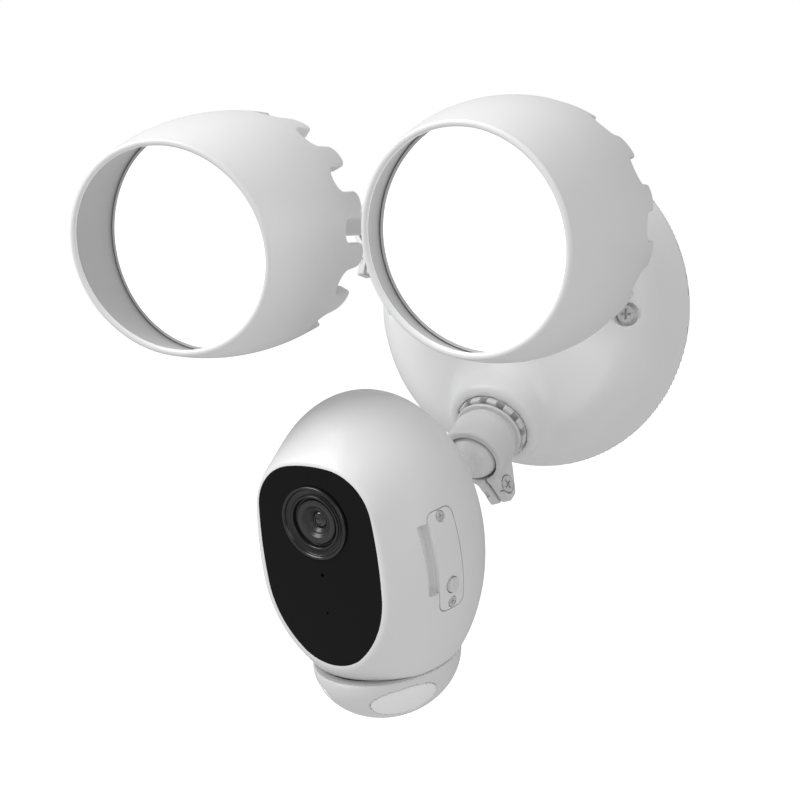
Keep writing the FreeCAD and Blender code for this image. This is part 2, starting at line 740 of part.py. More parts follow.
def lamp_shell(lamp):
    wall = revolved(lamp + "_wall", shell_outline())
    side = 1 if lamp == "left_lamp" else -1
    front = cylinder(lamp + "_front", 90, 60)
    tilt = placement((0, 0, -D.lamp_front.value), ("Y", -D.rim_inward.value * side), ("X", D.rim_down.value))
    front.Placement = tilt.multiply(placement((0, 0, -60)))
    return node(cut(lamp + "_rim_cut", wall, front), lamp + "_shell", lamp_frame(lamp))


def diffuser(lamp):
    edge, depth = D.diffuser_radius, D.diffuser_depth
    dome = 1.2
    lens = revolved(lamp + "_lens", [
        (0, -depth - dome), (edge, -depth, dome_radius(edge, dome)), (edge, 2 - depth),
        (0, 2 - depth)])
    return node(lens, lamp + "_diffuser", lamp_frame(lamp))


def lens_seal(lamp):
    edge, depth = D.diffuser_radius, D.diffuser_depth
    ring = revolved(lamp + "_seal", [
        (edge, 0.1 - depth), (edge + 1.1, 0.1 - depth), (edge + 1.1, 2 - depth), (edge, 2 - depth)])
    return node(ring, lamp + "_lens_seal", lamp_frame(lamp))


def reflector(lamp):
    top = 2 - D.diffuser_depth
    edge = D.diffuser_radius + 1.1
    cone_wall = revolved(lamp + "_reflector_wall", [
        (30, BOARD_Z), (edge - 3, top), (edge, top), (edge, top + 1.2), (edge - 2, top + 1.2),
        (31.2, BOARD_Z)])
    return node(cone_wall, lamp + "_reflector", lamp_frame(lamp))


def led_board(lamp):
    """Round board with the light-emitting diodes in rings on its front."""
    pieces = [cylinder(lamp + "_board", 32, BOARD_THICK, (0, 0, BOARD_Z))]
    for ring, (radius, count) in enumerate(LED_RINGS):
        for index in range(count):
            angle = 2 * math.pi * index / count
            at = (radius * math.cos(angle), radius * math.sin(angle), BOARD_Z - 0.35)
            pieces.append(box("%s_led_%d_%d" % (lamp, ring, index), 3.5, 3.5, 0.9, at))
    return node(join(lamp + "_board_solid", *pieces), lamp + "_led_board", lamp_frame(lamp))


def heat_sink(lamp):
    """Turned plate behind the diodes, with a crown of rounded petals that carries the shell's curve on."""
    body = new_body(lamp + "_sink_body")
    turn = body.newObject("PartDesign::Revolution", lamp + "_sink_core")
    low = BOARD_Z + BOARD_THICK
    bend = D.lamp_radius - D.rear_round
    root = on_sphere(D.rear_round, D.lamp_rear) + bend
    end = on_sphere(D.rear_round, D.fin_tip - 1.5) + bend
    turn.Profile = body_sketch(body, lamp + "_sink_outline", "XZ_Plane", [
        (0, low), (33, low), (33, D.lamp_rear), (root, D.lamp_rear), (end, D.fin_tip - 1.5, D.rear_round),
        (end - 1.5, D.fin_tip, 1.5), (end - 3.5, D.fin_tip), (33.5, PLATE_TOP), (0, PLATE_TOP)])
    turn.ReferenceAxis = (turn.Profile[0], ["V_Axis"])
    turn.Angle = 360
    half, wide = 3.6, 9.0
    start = D.fin_tip - 5.4
    notch = [(0, PLATE_TOP, half), (half, PLATE_TOP + half, half), (half, start), (wide, D.fin_tip, -5.5),
             (wide, D.fin_tip + 3), (-wide, D.fin_tip + 3), (-wide, D.fin_tip), (-half, start, -5.5),
             (-half, PLATE_TOP + half)]
    gap = body_pocket(body, lamp + "_petal_gap", "YZ_Plane", notch, reverse=True)
    body_pattern(body, lamp + "_petal_gaps", gap, D.fin_count)
    return node(body, lamp + "_heat_sink", lamp_frame(lamp))


def rear_cap(lamp):
    radius, middle = D.cap_radius, D.cap_middle
    inner = radius - 2.5
    dome = revolved(lamp + "_cap_dome", [
        (inner, PLATE_TOP), (radius, PLATE_TOP), (radius, middle), (0, middle + radius, radius),
        (0, middle + inner), (inner, middle, -inner)])
    hole = cylinder(lamp + "_cap_hole", D.stem_radius, 40)
    towards = lamp_frame(lamp).inverse().multiply(stem_frame(lamp))
    hole.Placement = towards.multiply(placement((0, 0, D.lamp_offset.value - 38)))
    return node(cut(lamp + "_cap_cut", dome, hole), lamp + "_rear_cap", lamp_frame(lamp))


# ---------------------------------------------------------------------------------------------
# Camera head. X right, Y back, Z up, from the middle of the egg.

COVER_THICK = 1.2
BOARD_Y = 6.0
MIC_Z = 1.0
SENSOR_Z = -14.0
SWITCH_X = 32.6
WINDOW_TURN = 48.0


def head_egg(name, depth):
    """The egg of the head, a depth below its outer surface."""
    return egg(name, D.head_half_width - depth, D.head_half_depth - depth, D.head_half_height - depth)


def stem_in_head(thing, distance):
    """Puts a turned piece on the stem's axis, at a distance from the ball centre."""
    thing.Placement = camera_frame().inverse().multiply(stem_frame("camera")).multiply(
        placement((0, 0, distance)))
    return thing


def panel_outline(edge=0):
    """Face panel: an upright oval with a flatter crown, or the outline an edge outside it."""
    half, top, bottom = D.panel_width / 2, D.panel_top, -D.panel_bottom
    joints = [(9.0, top - 0.7, 0.162, 0.987), (half - 0.9, top - 18.0, 0.995, 0.103),
              (half - 0.5, bottom + 29.0, 0.996, -0.085), (12.0, bottom + 4.0, 0.633, -0.774)]
    edge = as_size(edge)
    crown, shoulder, side, jaw = [(edge * across + x, edge * up + y) for x, y, across, up in joints]
    return [
        (-shoulder[0], shoulder[1], edge + 19.1), (-side[0], side[1], edge + 170),
        (-jaw[0], jaw[1], edge + 38),
        (*jaw, edge + 20), (*side, edge + 38), (*shoulder, edge + 170), (*crown, edge + 19.1),
        (-crown[0], crown[1], edge + 56)]


def cover_prism(name, gap):
    width, length = D.cover_width + 2 * gap, D.cover_length + 2 * gap
    return prism(name, 30, rounded(width, length, 3.5, (D.cover_y, D.cover_z)), start=20, along="X")


def side_x(y, z, depth=0.0):
    """Distance of the egg's side from the middle plane at a place, as a number."""
    a, b, c = (size.value - depth for size in (D.head_half_width, D.head_half_depth, D.head_half_height))
    return a * math.sqrt(1 - (y / b) ** 2 - (z / c) ** 2)


COVER_SCREWS = (16.6, -16.6)


def camera_housing():
    wall = D.head_wall
    outer = head_egg("head_outer", 0)
    frame = prism("face_frame", 22, panel_outline(D.bezel), start=-D.face_depth, along="Y")
    hub = stem_in_head(cone("head_hub", 8, 17, 30), 16)
    front = box("head_front", 120, 60, 160, (0, -D.face_depth - 30, 0))
    below = box("head_below", 120, 120, 60, (0, 0, -D.seam_drop - 30))
    inner = cut("head_room", head_egg("head_inner", wall),
                box("head_front_wall", 120, 60, 160, (0, wall - D.face_depth - 30, 0)))
    room_parts = [stem_in_head(cone("head_hub_inside", 8, 17, 30), 16)]
    for side in SCREW_SIDES:
        foot = (14 * side, BOARD_Y + BOARD_THICK, 26)
        room_parts.append(cylinder("board_pillar_%d" % side, 3, 40, foot, "Y"))
    room = cut("head_cavity", inner, join("head_pillars", *room_parts))
    stem_way = stem_in_head(cylinder("stem_way", D.stem_radius, 50), 10)
    opening = prism("panel_opening", 10, panel_outline(), start=-D.face_depth - 5, along="Y")
    pocket = cut("cover_pocket", cover_prism("cover_pocket_prism", 0.2),
                 head_egg("pocket_floor", COVER_THICK))
    beside_cover = (41, D.cover_y - D.cover_width / 2 - 2.4, D.cover_z + 2.5)
    notch = cut("finger_notch", box("finger_box", 20, 4.2, 27, beside_cover), head_egg("notch_floor", 1.5))
    y, button_z = D.cover_y, D.cover_z - D.button_drop
    ways = [cylinder("button_way", D.button_radius + D.fit, 20, (28, y, button_z), "X"),
            box("card_way", 20, 1.8, 12, (35, y, D.cover_z + 5.5))]
    for z in COVER_SCREWS:
        seat = side_x(y.value, D.cover_z.value + z, COVER_THICK)
        ways.append(cylinder("cover_screw_way_%d" % z, 0.95, 20, (28, y, D.cover_z + z), "X"))
        ways.append(cylinder("cover_screw_floor_%d" % z, 1.95, 20, (seat + 0.1, y, D.cover_z + z), "X"))
    solid = join("head_solid", outer, frame, hub)
    piece = cut("head_shell", solid, front, below, room, stem_way, opening, pocket, notch, *ways)
    return node(piece, "camera_housing", camera_frame())


def face_panel():
    plate = prism("panel_plate", 2.0, panel_outline(), start=-D.face_depth, along="Y")
    holes = [cylinder("panel_lens_hole", D.lens_radius, 20, (0, -40, D.lens_height), "Y"),
             cylinder("panel_mic_hole", 0.7, 20, (0, -40, MIC_Z), "Y"),
             cylinder("panel_sensor_hole", 0.5, 20, (0, -40, SENSOR_Z), "Y")]
    return node(cut("panel_cut", plate, *holes), "face_panel", camera_frame())


def lens_axis():
    """Frame on the lens axis, Z forwards, at the face."""
    return camera_frame().multiply(placement((0, -D.face_depth.value, D.lens_height.value), ("X", 90)))


def lens_ring():
    outer = D.lens_radius
    ring = revolved("lens_ring_turn", [
        (9.6, -4), (outer, -4), (outer, 0.6), (outer - 0.7, 1.3, 0.8), (outer - 1.6, 0.9),
        (outer - 3.4, -0.4),
        (9.6, -0.8)])
    return node(ring, "lens_ring", lens_axis())


def lens_barrel():
    barrel = revolved("lens_barrel_turn", [
        (0, -25), (9.5, -25), (9.5, -0.4), (8.6, -0.4), (7.4, -1.8), (5.6, -1.8), (4.4, -2.4),
        (4.4, -5), (0, -5)])
    return node(barrel, "lens_barrel", lens_axis())


def lens_glass():
    glass = revolved("lens_glass_turn", [(0, -5), (4.4, -5), (4.4, -2.4), (0, -0.4, dome_radius(4.4, 2.0))])
    return node(glass, "lens_glass", lens_axis())


def sensor_board():
    plate = box("sensor_plate", 30, BOARD_THICK, 30, (0, -7.2, D.lens_height))
    legs = [cylinder("sensor_leg_%d" % side, 1.8, 12.4, (12 * side, -6.4, D.lens_height - 10), "Y")
            for side in SCREW_SIDES]
    return node(join("sensor_board_solid", plate, *legs), "sensor_board", camera_frame())


def microphone():
    post = cylinder("microphone_can", 2.6, 2.2, (0, 2 - D.face_depth, MIC_Z), "Y")
    return node(post, "microphone", camera_frame())


def main_board():
    """Upright board with its chips, and an arm that carries the reset switch."""
    plate = box("main_plate", 46, BOARD_THICK, 66, (0, BOARD_Y + BOARD_THICK / 2, 0))
    z = D.cover_z - D.button_drop
    y = D.cover_y
    chips = [box("main_chip", 14, 1.4, 14, (-6, BOARD_Y - 0.7, -8)),
             box("radio_chip", 10, 1.8, 12, (10, BOARD_Y - 0.9, -22))]
    arm = box("switch_arm", 4, 19, 6, (21, -2.9, z))
    switch = box("reset_switch", 12, 6, 6, (SWITCH_X - 6, y, z))
    return node(join("main_board_solid", plate, arm, switch, *chips), "main_board", camera_frame())


def speaker():
    rim = revolved("speaker_turn", [(0, 0), (12, 0), (13, 1, 1), (13, 5), (5, 5), (5, 8), (0, 8)])
    behind = camera_frame().multiply(placement((0, BOARD_Y + BOARD_THICK, -18), ("X", -90)))
    return node(rim, "speaker", behind)


def card_slot():
    y, z = D.cover_y, D.cover_z + 5.5
    case = box("card_case", 15, 3.6, 14, (28.5, y, z))
    leg = box("card_leg", 4, 17, 8, (23, -2.5, z))
    room = box("card_room", 14, 1.4, 11.4, (30, y, z))
    return node(cut("card_cut", join("card_solid", case, leg), room), "card_slot", camera_frame())


def card_cover():
    skin = cut("cover_skin", head_egg("cover_outer", 0), head_egg("cover_inner", COVER_THICK))
    plate = common("cover_plate", skin, cover_prism("cover_prism", 0))
    y = D.cover_y
    button_at = (30, y, D.cover_z - D.button_drop)
    holes = [cylinder("cover_button_hole", D.button_radius + D.fit, 20, button_at, "X")]
    for z in COVER_SCREWS:
        holes.append(cylinder("cover_screw_hole_%d" % z, 1.95, 20, (30, y, D.cover_z + z), "X"))
    return node(cut("cover_cut", plate, *holes), "card_cover", camera_frame())


def card_cover_screws():
    screws = []
    for index, offset in enumerate(COVER_SCREWS):
        z = D.cover_z.value + offset
        seat = side_x(D.cover_y.value, z, COVER_THICK)
        name = "cover_screw_%d" % index
        shank = cylinder(name + "_shank", 0.9, 5, (seat - 5, D.cover_y, z), "X")
        head = cylinder(name + "_head", 1.9, 1.0, (seat + 0.1, D.cover_y, z), "X")
        neck = cylinder(name + "_neck", 0.9, 1.0, (seat - 0.5, D.cover_y, z), "X")
        recess = cross_recess(name, 2.4, 1.0, (seat + 1.1, D.cover_y, z), "X")
        screws.append(cut(name, join(name + "_solid", shank, neck, head), *recess))
    return node(group("cover_screw_group", *screws), "card_cover_screws", camera_frame())


def button_frame():
    """Frame on the button's axis, Z outwards, at the side of the head."""
    z = D.cover_z.value - D.button_drop.value
    at = (side_x(D.cover_y.value, z), D.cover_y.value, z)
    return camera_frame().multiply(placement(at, ("Y", 90)))


BUTTON_RISE = 1.3
BUTTON_FLANGE = 3.3
BUTTON_FOOT = 4.3


def reset_button():
    radius = D.button_radius
    button = revolved("button_turn", [
        (0, -BUTTON_FOOT), (radius + 0.9, -BUTTON_FOOT), (radius + 0.9, -BUTTON_FLANGE),
        (radius, -BUTTON_FLANGE),
        (radius, BUTTON_RISE - 0.5), (radius - 0.5, BUTTON_RISE, 0.5), (0, BUTTON_RISE)])
    return node(button, "reset_button", button_frame())


def button_spring():
    """Small rubber dome between the switch and the button's foot."""
    z = D.cover_z.value - D.button_drop.value
    gap = side_x(D.cover_y.value, z) - BUTTON_FOOT - SWITCH_X
    dome = revolved("spring_turn", [
        (1.6, -gap), (2.6, -gap), (2.0, 0), (1.0, 0)])
    return node(dome, "button_spring", button_frame().multiply(placement((0, 0, -BUTTON_FOOT))))


BOWL_GAP = 0.6
BOWL_WALL = 1.6


def slab(name, low, high):
    return box(name, 120, 120, high - low, (0, 0, (high + low) / 2))


def bowl_egg(name, depth, height=None):
    width = D.head_half_width * 0.68 - depth
    length = D.head_half_depth * 0.68 - depth
    return egg(name, width, length, D.bowl_height - depth if height is None else height,
               (0, 0, -D.seam_drop - BOWL_GAP))


def window_tool(name, side):
    tool = egg(name, 14, 6, 7.5)
    turn = math.radians(WINDOW_TURN)
    out = 25.0
    at = (side * out * math.sin(turn), -out * math.cos(turn), -D.seam_drop.value - 10.5)
    tool.Placement = placement(at, ("Z", side * WINDOW_TURN), ("X", 28))
    return tool


def bowl_skin(name):
    wall = cut(name + "_wall", bowl_egg(name + "_outer", 0), bowl_egg(name + "_inner", BOWL_WALL))
    low = -D.seam_drop - BOWL_GAP
    return common(name, wall, slab(name + "_slab", low - 60, low))


def pir_bowl():
    tools = [window_tool("bowl_window_cut_%d" % side, side) for side in SCREW_SIDES]
    return node(cut("bowl_cut", bowl_skin("bowl_skin"), *tools), "pir_bowl", camera_frame())


def pir_windows():
    patches = [common("window_%d" % side, bowl_skin("window_skin_%d" % side),
                      window_tool("window_tool_%d" % side, side))
               for side in SCREW_SIDES]
    return node(group("window_group", *patches), "pir_windows", camera_frame())


def bowl_seal():
    ring = cut("seal_ring", bowl_egg("seal_outer", 0.6, 500), bowl_egg("seal_inner", 3.4, 500))
    low = -D.seam_drop - BOWL_GAP
    return node(common("seal_cut", ring, slab("seal_slab", low, low + BOWL_GAP)), "bowl_seal", camera_frame())


def pir_board():
    low = -D.seam_drop - BOWL_GAP
    edge = egg("pir_edge", 24.5, 23.8, 500)
    plate = common("pir_plate", edge, slab("pir_slab", low, low + BOARD_THICK))
    return node(plate, "pir_board", camera_frame())


def pir_sensor():
    low = -D.seam_drop.value - BOWL_GAP
    can = revolved("pir_can", [
        (0, -4.2), (3.9, -4.2), (4.3, -3.8, 0.4), (4.3, -0.6), (4.9, -0.6), (4.9, 0), (0, 0)])
    return node(can, "pir_sensor", camera_frame().multiply(placement((0, 0, low))))


# ---------------------------------------------------------------------------------------------
# Assembly.

for build in (base_housing, wall_gasket, mounting_bracket, cable_grommet, housing_screws, driver_board,
              driver_parts, terminal_block, lock_rings):
    build()
for arm in ARM_ANGLE:
    for build in (swivel_arm, clamp_screw, clamp_nut, ball_seat, ball_stud):
        build(arm)
for lamp in LAMPS:
    for build in (lamp_shell, diffuser, lens_seal, reflector, led_board, heat_sink, rear_cap):
        build(lamp)
for build in (camera_housing, face_panel, lens_ring, lens_barrel, lens_glass, sensor_board, microphone,
              main_board, speaker, card_slot, card_cover, card_cover_screws, reset_button, button_spring,
              pir_bowl, pir_windows, bowl_seal, pir_board, pir_sensor):
    build()

doc.recompute()

failed = [thing.Name for thing in doc.Objects if "Invalid" in thing.State or "Error" in thing.State]
failed += [piece.Label for piece in nodes if piece.Shape.isNull() or not piece.Shape.isValid()]
if failed:
    raise RuntimeError("these objects failed: %s" % ", ".join(failed))

os.makedirs("parts", exist_ok=True)
for piece in nodes:
    piece.Shape.exportStep(os.path.join("parts", piece.Label + ".step"))
print(len(nodes), "nodes written")
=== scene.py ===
import math

import bmesh
import bpy
import numpy as np
from mathutils import Matrix, Vector


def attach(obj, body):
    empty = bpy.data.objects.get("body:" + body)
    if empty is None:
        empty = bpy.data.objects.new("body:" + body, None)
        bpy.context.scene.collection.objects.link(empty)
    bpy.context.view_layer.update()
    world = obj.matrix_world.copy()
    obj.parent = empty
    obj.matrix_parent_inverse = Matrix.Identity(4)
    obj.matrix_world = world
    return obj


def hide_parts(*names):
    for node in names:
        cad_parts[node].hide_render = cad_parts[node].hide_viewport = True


# Looks of the floodlight security camera. Lengths are in millimetres in the shape code and become
# metres when a mesh is made. -Y is the front, +X the right from the front, +Z up.

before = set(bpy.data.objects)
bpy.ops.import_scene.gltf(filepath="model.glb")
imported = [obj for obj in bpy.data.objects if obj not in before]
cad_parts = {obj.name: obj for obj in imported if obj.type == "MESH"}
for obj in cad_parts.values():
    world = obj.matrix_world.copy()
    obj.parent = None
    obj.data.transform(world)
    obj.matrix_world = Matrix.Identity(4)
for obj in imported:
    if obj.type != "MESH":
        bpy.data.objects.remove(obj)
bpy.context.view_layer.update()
MM = 0.001

# ---------------------------------------------------------------------------------------------
# Frames, the same as the CAD's.

AXES = {"X": (1, 0, 0), "Y": (0, 1, 0), "Z": (0, 0, 1)}


def at(place, *turns):
    """A frame at a point in millimetres, with turns about its own axes in degrees."""
    matrix = Matrix.Translation(Vector(place))
    for axis, angle in turns:
        matrix = matrix @ Matrix.Rotation(math.radians(angle), 4, AXES[axis])
    return matrix


WALL = at((0, 0, 0), ("X", 90))
ARM_ANGLE = {"left_lamp": 140.0, "right_lamp": 40.0, "camera": -90.0}
LUG_TURN = {"left_lamp": 134.0, "right_lamp": -36.0, "camera": 20.0}
STEM_AIM = {"left_lamp": (-8.5, 0.5), "right_lamp": (12.0, -1.5), "camera": (-5.0, 21.2)}
LAMPS = ("left_lamp", "right_lamp")
ARM_SPREAD = 56.9
ARM_REACH = 58.7
ARM_TILT = 30.0
LAMP_OFFSET = 72.0
CAP_MIDDLE = 24.0
CAMERA_OFFSET = 78.1
CAMERA_PITCH = 12.0
CAMERA_LIFT = 2.5


def ball_centre(arm):
    angle = math.radians(ARM_ANGLE[arm])
    return Vector((ARM_SPREAD * math.cos(angle), -ARM_REACH, ARM_SPREAD * math.sin(angle)))


def arm_frame(arm, turn=0.0):
    return at(ball_centre(arm), ("X", 90), ("Z", ARM_ANGLE[arm]), ("Y", ARM_TILT), ("Z", turn))


def stem_frame(arm):
    yaw, pitch = STEM_AIM[arm]
    return at(ball_centre(arm), ("Z", yaw), ("X", pitch), ("X", 90))


def lamp_frame(lamp):
    """Z backwards from the widest section, X right, Y down."""
    yaw, pitch = STEM_AIM[lamp]
    inward = 7.0 if lamp == "left_lamp" else -7.0
    cap = stem_frame(lamp) @ Vector((0, 0, LAMP_OFFSET))
    return at(cap, ("Z", yaw + inward), ("X", pitch + 4.0), ("X", -90)) @ at((0, 0, -CAP_MIDDLE))


def head_frame():
    """Middle of the camera's egg. X right, Y back, Z up."""
    middle = stem_frame("camera") @ Vector((0, 0, CAMERA_OFFSET))
    return at(middle, ("Z", STEM_AIM["camera"][0]), ("X", CAMERA_PITCH)) @ at((0, 0, CAMERA_LIFT))


# ---------------------------------------------------------------------------------------------
# Materials.

def new_material(name):
    material = bpy.data.materials.new(name)
    material.use_nodes = True
    nodes = material.node_tree.nodes
    return material, nodes, material.node_tree.links, nodes["Principled BSDF"]


def add_noise(nodes, links, scale, detail=3.0):
    coordinates = nodes.new("ShaderNodeTexCoord")
    noise = nodes.new("ShaderNodeTexNoise")
    noise.inputs["Scale"].default_value = scale
    noise.inputs["Detail"].default_value = detail
    links.new(coordinates.outputs["Object"], noise.inputs["Vector"])
    return noise


def add_range(nodes, links, source, low, high):
    span = nodes.new("ShaderNodeMapRange")
    span.inputs["To Min"].default_value = low
    span.inputs["To Max"].default_value = high
    links.new(source, span.inputs["Value"])
    return span.outputs["Result"]


def surface(name, colour, rough, grain=1400.0, bump=0.02, metallic=0.0, tint=0.02, coat=0.0, shine=0.5):
    """A moulded, painted or plated surface: fine grain in the bump, and slow changes in gloss and colour."""
    material, nodes, links, shader = new_material(name)
    shader.inputs["Metallic"].default_value = metallic
    shader.inputs["Coat Weight"].default_value = coat
    shader.inputs["Coat Roughness"].default_value = 0.08
    shader.inputs["Specular IOR Level"].default_value = shine
    slow = add_noise(nodes, links, 45.0)
    fine = add_noise(nodes, links, grain, 2.0)
    mix = nodes.new("ShaderNodeMix")
    mix.data_type = "RGBA"
    mix.inputs["A"].default_value = (*[c * (1 - tint) for c in colour], 1)
    mix.inputs["B"].default_value = (*[min(c * (1 + tint), 1) for c in colour], 1)
    links.new(slow.outputs["Fac"], mix.inputs["Factor"])
    links.new(mix.outputs["Result"], shader.inputs["Base Color"])
    gloss = add_range(nodes, links, slow.outputs["Fac"], rough * 0.88, rough * 1.12)
    links.new(gloss, shader.inputs["Roughness"])
    relief = nodes.new("ShaderNodeBump")
    relief.inputs["Strength"].default_value = bump
    relief.inputs["Distance"].default_value = 0.0002
    links.new(fine.outputs["Fac"], relief.inputs["Height"])
    links.new(relief.outputs["Normal"], shader.inputs["Normal"])
    return material


def lit(name, colour, strength):
    """Milky plastic that glows from behind, slightly uneven."""
    material, nodes, links, shader = new_material(name)
    shader.inputs["Base Color"].default_value = (*colour, 1)
    shader.inputs["Roughness"].default_value = 0.35
    shader.inputs["Emission Color"].default_value = (*colour, 1)
    glow = add_noise(nodes, links, 60.0, 1.0)
    amount = add_range(nodes, links, glow.outputs["Fac"], strength * 0.95, strength)
    links.new(amount, shader.inputs["Emission Strength"])
    return material


WHITE = surface("white_moulded_plastic", (0.80, 0.80, 0.80), 0.36, coat=0.12)
ARM_WHITE = surface("arm_moulded_plastic", (0.70, 0.70, 0.70), 0.38)
# Dark grey for the lamp shells' inner wall: painted shade on what is really the same white plastic as the
# shell.
PAINTED_SHADE_LINER = surface("lamp_inside_painted_shade", (0.30, 0.30, 0.30), 0.45)
GLOW = lit("lit_diffuser", (1.0, 1.0, 1.0), 0.9)
PANEL = surface("panel_gloss", (0.003, 0.003, 0.0035), 0.10, bump=0.0, shine=0.12)
RING_BLACK = surface("lens_ring_satin", (0.012, 0.012, 0.013), 0.24, bump=0.005, shine=0.5)
BARREL_BLACK = surface("lens_barrel_satin", (0.022, 0.022, 0.024), 0.34, bump=0.005, shine=0.5)
LENS = surface("lens_coated_glass", (0.003, 0.003, 0.004), 0.04, bump=0.0, coat=1.0)
MILKY = surface("bowl_milky_plastic", (0.76, 0.76, 0.77), 0.26, bump=0.0, coat=0.3)
# The windows are lighter than the bowl partly as a painted highlight: the bright gloss patch on them is put
# into the base colour.
WINDOW = surface("bowl_window_plastic_and_highlight", (0.96, 0.96, 0.96), 0.16, bump=0.0, coat=0.6)
RUBBER = surface("black_rubber", (0.02, 0.02, 0.02), 0.75, grain=900.0, bump=0.2)
SEAL = surface("white_lens_seal", (0.8, 0.8, 0.8), 0.6)
FOAM = surface("foam_gasket", (0.03, 0.03, 0.03), 0.9, grain=500.0, bump=0.6)
STEEL = surface("plated_steel", (0.55, 0.55, 0.56), 0.32, metallic=1.0, grain=700.0, bump=0.05)
SCREW = surface("painted_screw", (0.60, 0.60, 0.60), 0.38, grain=700.0, bump=0.05)
SEAT = surface("seat_plastic", (0.10, 0.10, 0.10), 0.5)
BUTTON = surface("button_plastic", (0.72, 0.72, 0.72), 0.3)
GASKET = surface("bowl_gasket", (0.50, 0.50, 0.50), 0.6)
BOARD = surface("board_solder_mask", (0.02, 0.14, 0.07), 0.35, grain=300.0, bump=0.1, tint=0.15)
PARTS = surface("moulded_components", (0.03, 0.03, 0.032), 0.45, tint=0.2)
REFLECTOR = surface("reflector_white", (0.85, 0.85, 0.85), 0.2)
ARMS = tuple(ARM_ANGLE)

node_material = {
    "base_housing": WHITE, "wall_gasket": FOAM, "mounting_bracket": STEEL, "cable_grommet": RUBBER,
    "housing_screws": SCREW, "driver_board": BOARD, "driver_parts": PARTS, "terminal_block": PARTS,
    "lock_rings": ARM_WHITE, "camera_housing": WHITE, "face_panel": PANEL, "lens_ring": RING_BLACK,
    "lens_barrel": BARREL_BLACK, "lens_glass": LENS, "sensor_board": BOARD, "microphone": PARTS,
    "main_board": BOARD, "speaker": PARTS, "card_slot": STEEL, "card_cover": WHITE,
    "card_cover_screws": SCREW, "reset_button": BUTTON, "button_spring": RUBBER, "pir_bowl": MILKY,
    "pir_windows": WINDOW, "bowl_seal": GASKET, "pir_board": BOARD, "pir_sensor": STEEL}
for name in ARMS:
    node_material.update({
        name + "_arm": ARM_WHITE, name + "_clamp_screw": SCREW, name + "_clamp_nut": SCREW,
        name + "_ball_seat": SEAT, name + "_ball_stud": ARM_WHITE})
for name in LAMPS:
    node_material.update({
        name + "_shell": WHITE, name + "_diffuser": GLOW, name + "_lens_seal": SEAL,
        name + "_reflector": REFLECTOR, name + "_led_board": REFLECTOR, name + "_heat_sink": WHITE,
        name + "_rear_cap": WHITE})
for name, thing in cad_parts.items():
    thing.data.materials.clear()
    thing.data.materials.append(node_material[name])


# ---------------------------------------------------------------------------------------------
# Mesh makers.

SHARP = math.radians(32)


def finish_mesh(name, mesh, material, body, hides=()):
    mesh.name = name
    thing = bpy.data.objects.new(name, mesh)
    bpy.context.scene.collection.objects.link(thing)
    mesh.materials.clear()
    mesh.materials.append(material)
    mesh.shade_smooth()
    mesh.set_sharp_from_angle(angle=SHARP)
    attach(thing, body)
    if hides:
        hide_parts(*hides)
    return thing


def mesh_from(points, faces, place):
    mesh = bpy.data.meshes.new("mesh")
    mesh.from_pydata([place @ Vector(p) * MM for p in points], [], faces)
    mesh.validate()
    return mesh


def tidy_normals(mesh):
    work = bmesh.new()
    work.from_mesh(mesh)
    bmesh.ops.remove_doubles(work, verts=work.verts, dist=1e-6)
    bmesh.ops.dissolve_degenerate(work, edges=work.edges, dist=1e-6)
    bmesh.ops.recalc_face_normals(work, faces=work.faces)
    work.to_mesh(mesh)
    work.free()


def arc(start, end, radius, steps):
    """Points after start on an arc to end. A positive radius turns to the left."""
    a, b = Vector(start), Vector(end)
    chord = b - a
    side = Vector((-chord.y, chord.x)).normalized()
    lift = math.sqrt(max(radius * radius - chord.length_squared / 4, 0))
    centre = (a + b) / 2 + side * math.copysign(lift, radius)
    first = math.atan2(a.y - centre.y, a.x - centre.x)
    last = math.atan2(b.y - centre.y, b.x - centre.x)
    if radius > 0 and last < first:
        last += 2 * math.pi
    if radius < 0 and last > first:
        last -= 2 * math.pi
    angles = [first + (last - first) * k / steps for k in range(1, steps + 1)]
    return [(centre.x + abs(radius) * math.cos(t), centre.y + abs(radius) * math.sin(t)) for t in angles]


def trace(steps, pieces=10):
    """Points of an outline of (radius, height) or (radius, height, arc radius) steps."""
    points = []
    for index, step in enumerate(steps):
        before = steps[index - 1][:2]
        if len(step) == 3:
            points += arc(before, step[:2], step[2], pieces)
        else:
            points.append(step[:2])
    return points


def lathe(name, steps, place, material, body, hides=(), segments=128, pieces=10):
    """Turns a closed outline round Z."""
    outline = trace(steps, pieces)
    count = len(outline)
    points, faces = [], []
    for turn in range(segments):
        angle = 2 * math.pi * turn / segments
        for radius, height in outline:
            points.append((max(radius, 0) * math.cos(angle), max(radius, 0) * math.sin(angle), height))
        following = (turn + 1) % segments
        for k in range(count):
            m = (k + 1) % count
            faces.append((turn * count + k, following * count + k, following * count + m, turn * count + m))
    mesh = mesh_from(points, faces, place)
    tidy_normals(mesh)
    return finish_mesh(name, mesh, material, body, hides)


# Solids given as fields: negative inside, about the distance in millimetres near the surface.

def both(a, b, radius):
    """Intersection with a rounded edge."""
    corner = np.hypot(np.maximum(a + radius, 0), np.maximum(b + radius, 0)) - radius
    return np.where((a > -radius) & (b > -radius), corner, np.maximum(a, b))


def either(a, b, radius):
    """Union with a fillet."""
    return -both(-a, -b, radius)


def turned_cone(p, low, high, radius_low, radius_high):
    """Field of a cone about Z between two heights, as its side and its ends."""
    slope = (radius_high - radius_low) / (high - low)
    side = (np.hypot(p[0], p[1]) - radius_low - slope * (p[2] - low)) / math.hypot(1, slope)
    return side, np.maximum(low - p[2], p[2] - high)


def ball_field(p, radius):
    return np.sqrt(p[0] ** 2 + p[1] ** 2 + p[2] ** 2) - radius


def egg_field(p, half_width, half_depth, half_height):
    sizes = (half_width, half_depth, half_height)
    near = np.sqrt(sum((q / s) ** 2 for q, s in zip(p, sizes)))
    slope = np.sqrt(sum((q / s ** 2) ** 2 for q, s in zip(p, sizes)))
    return near * (near - 1) / np.maximum(slope, 1e-6)


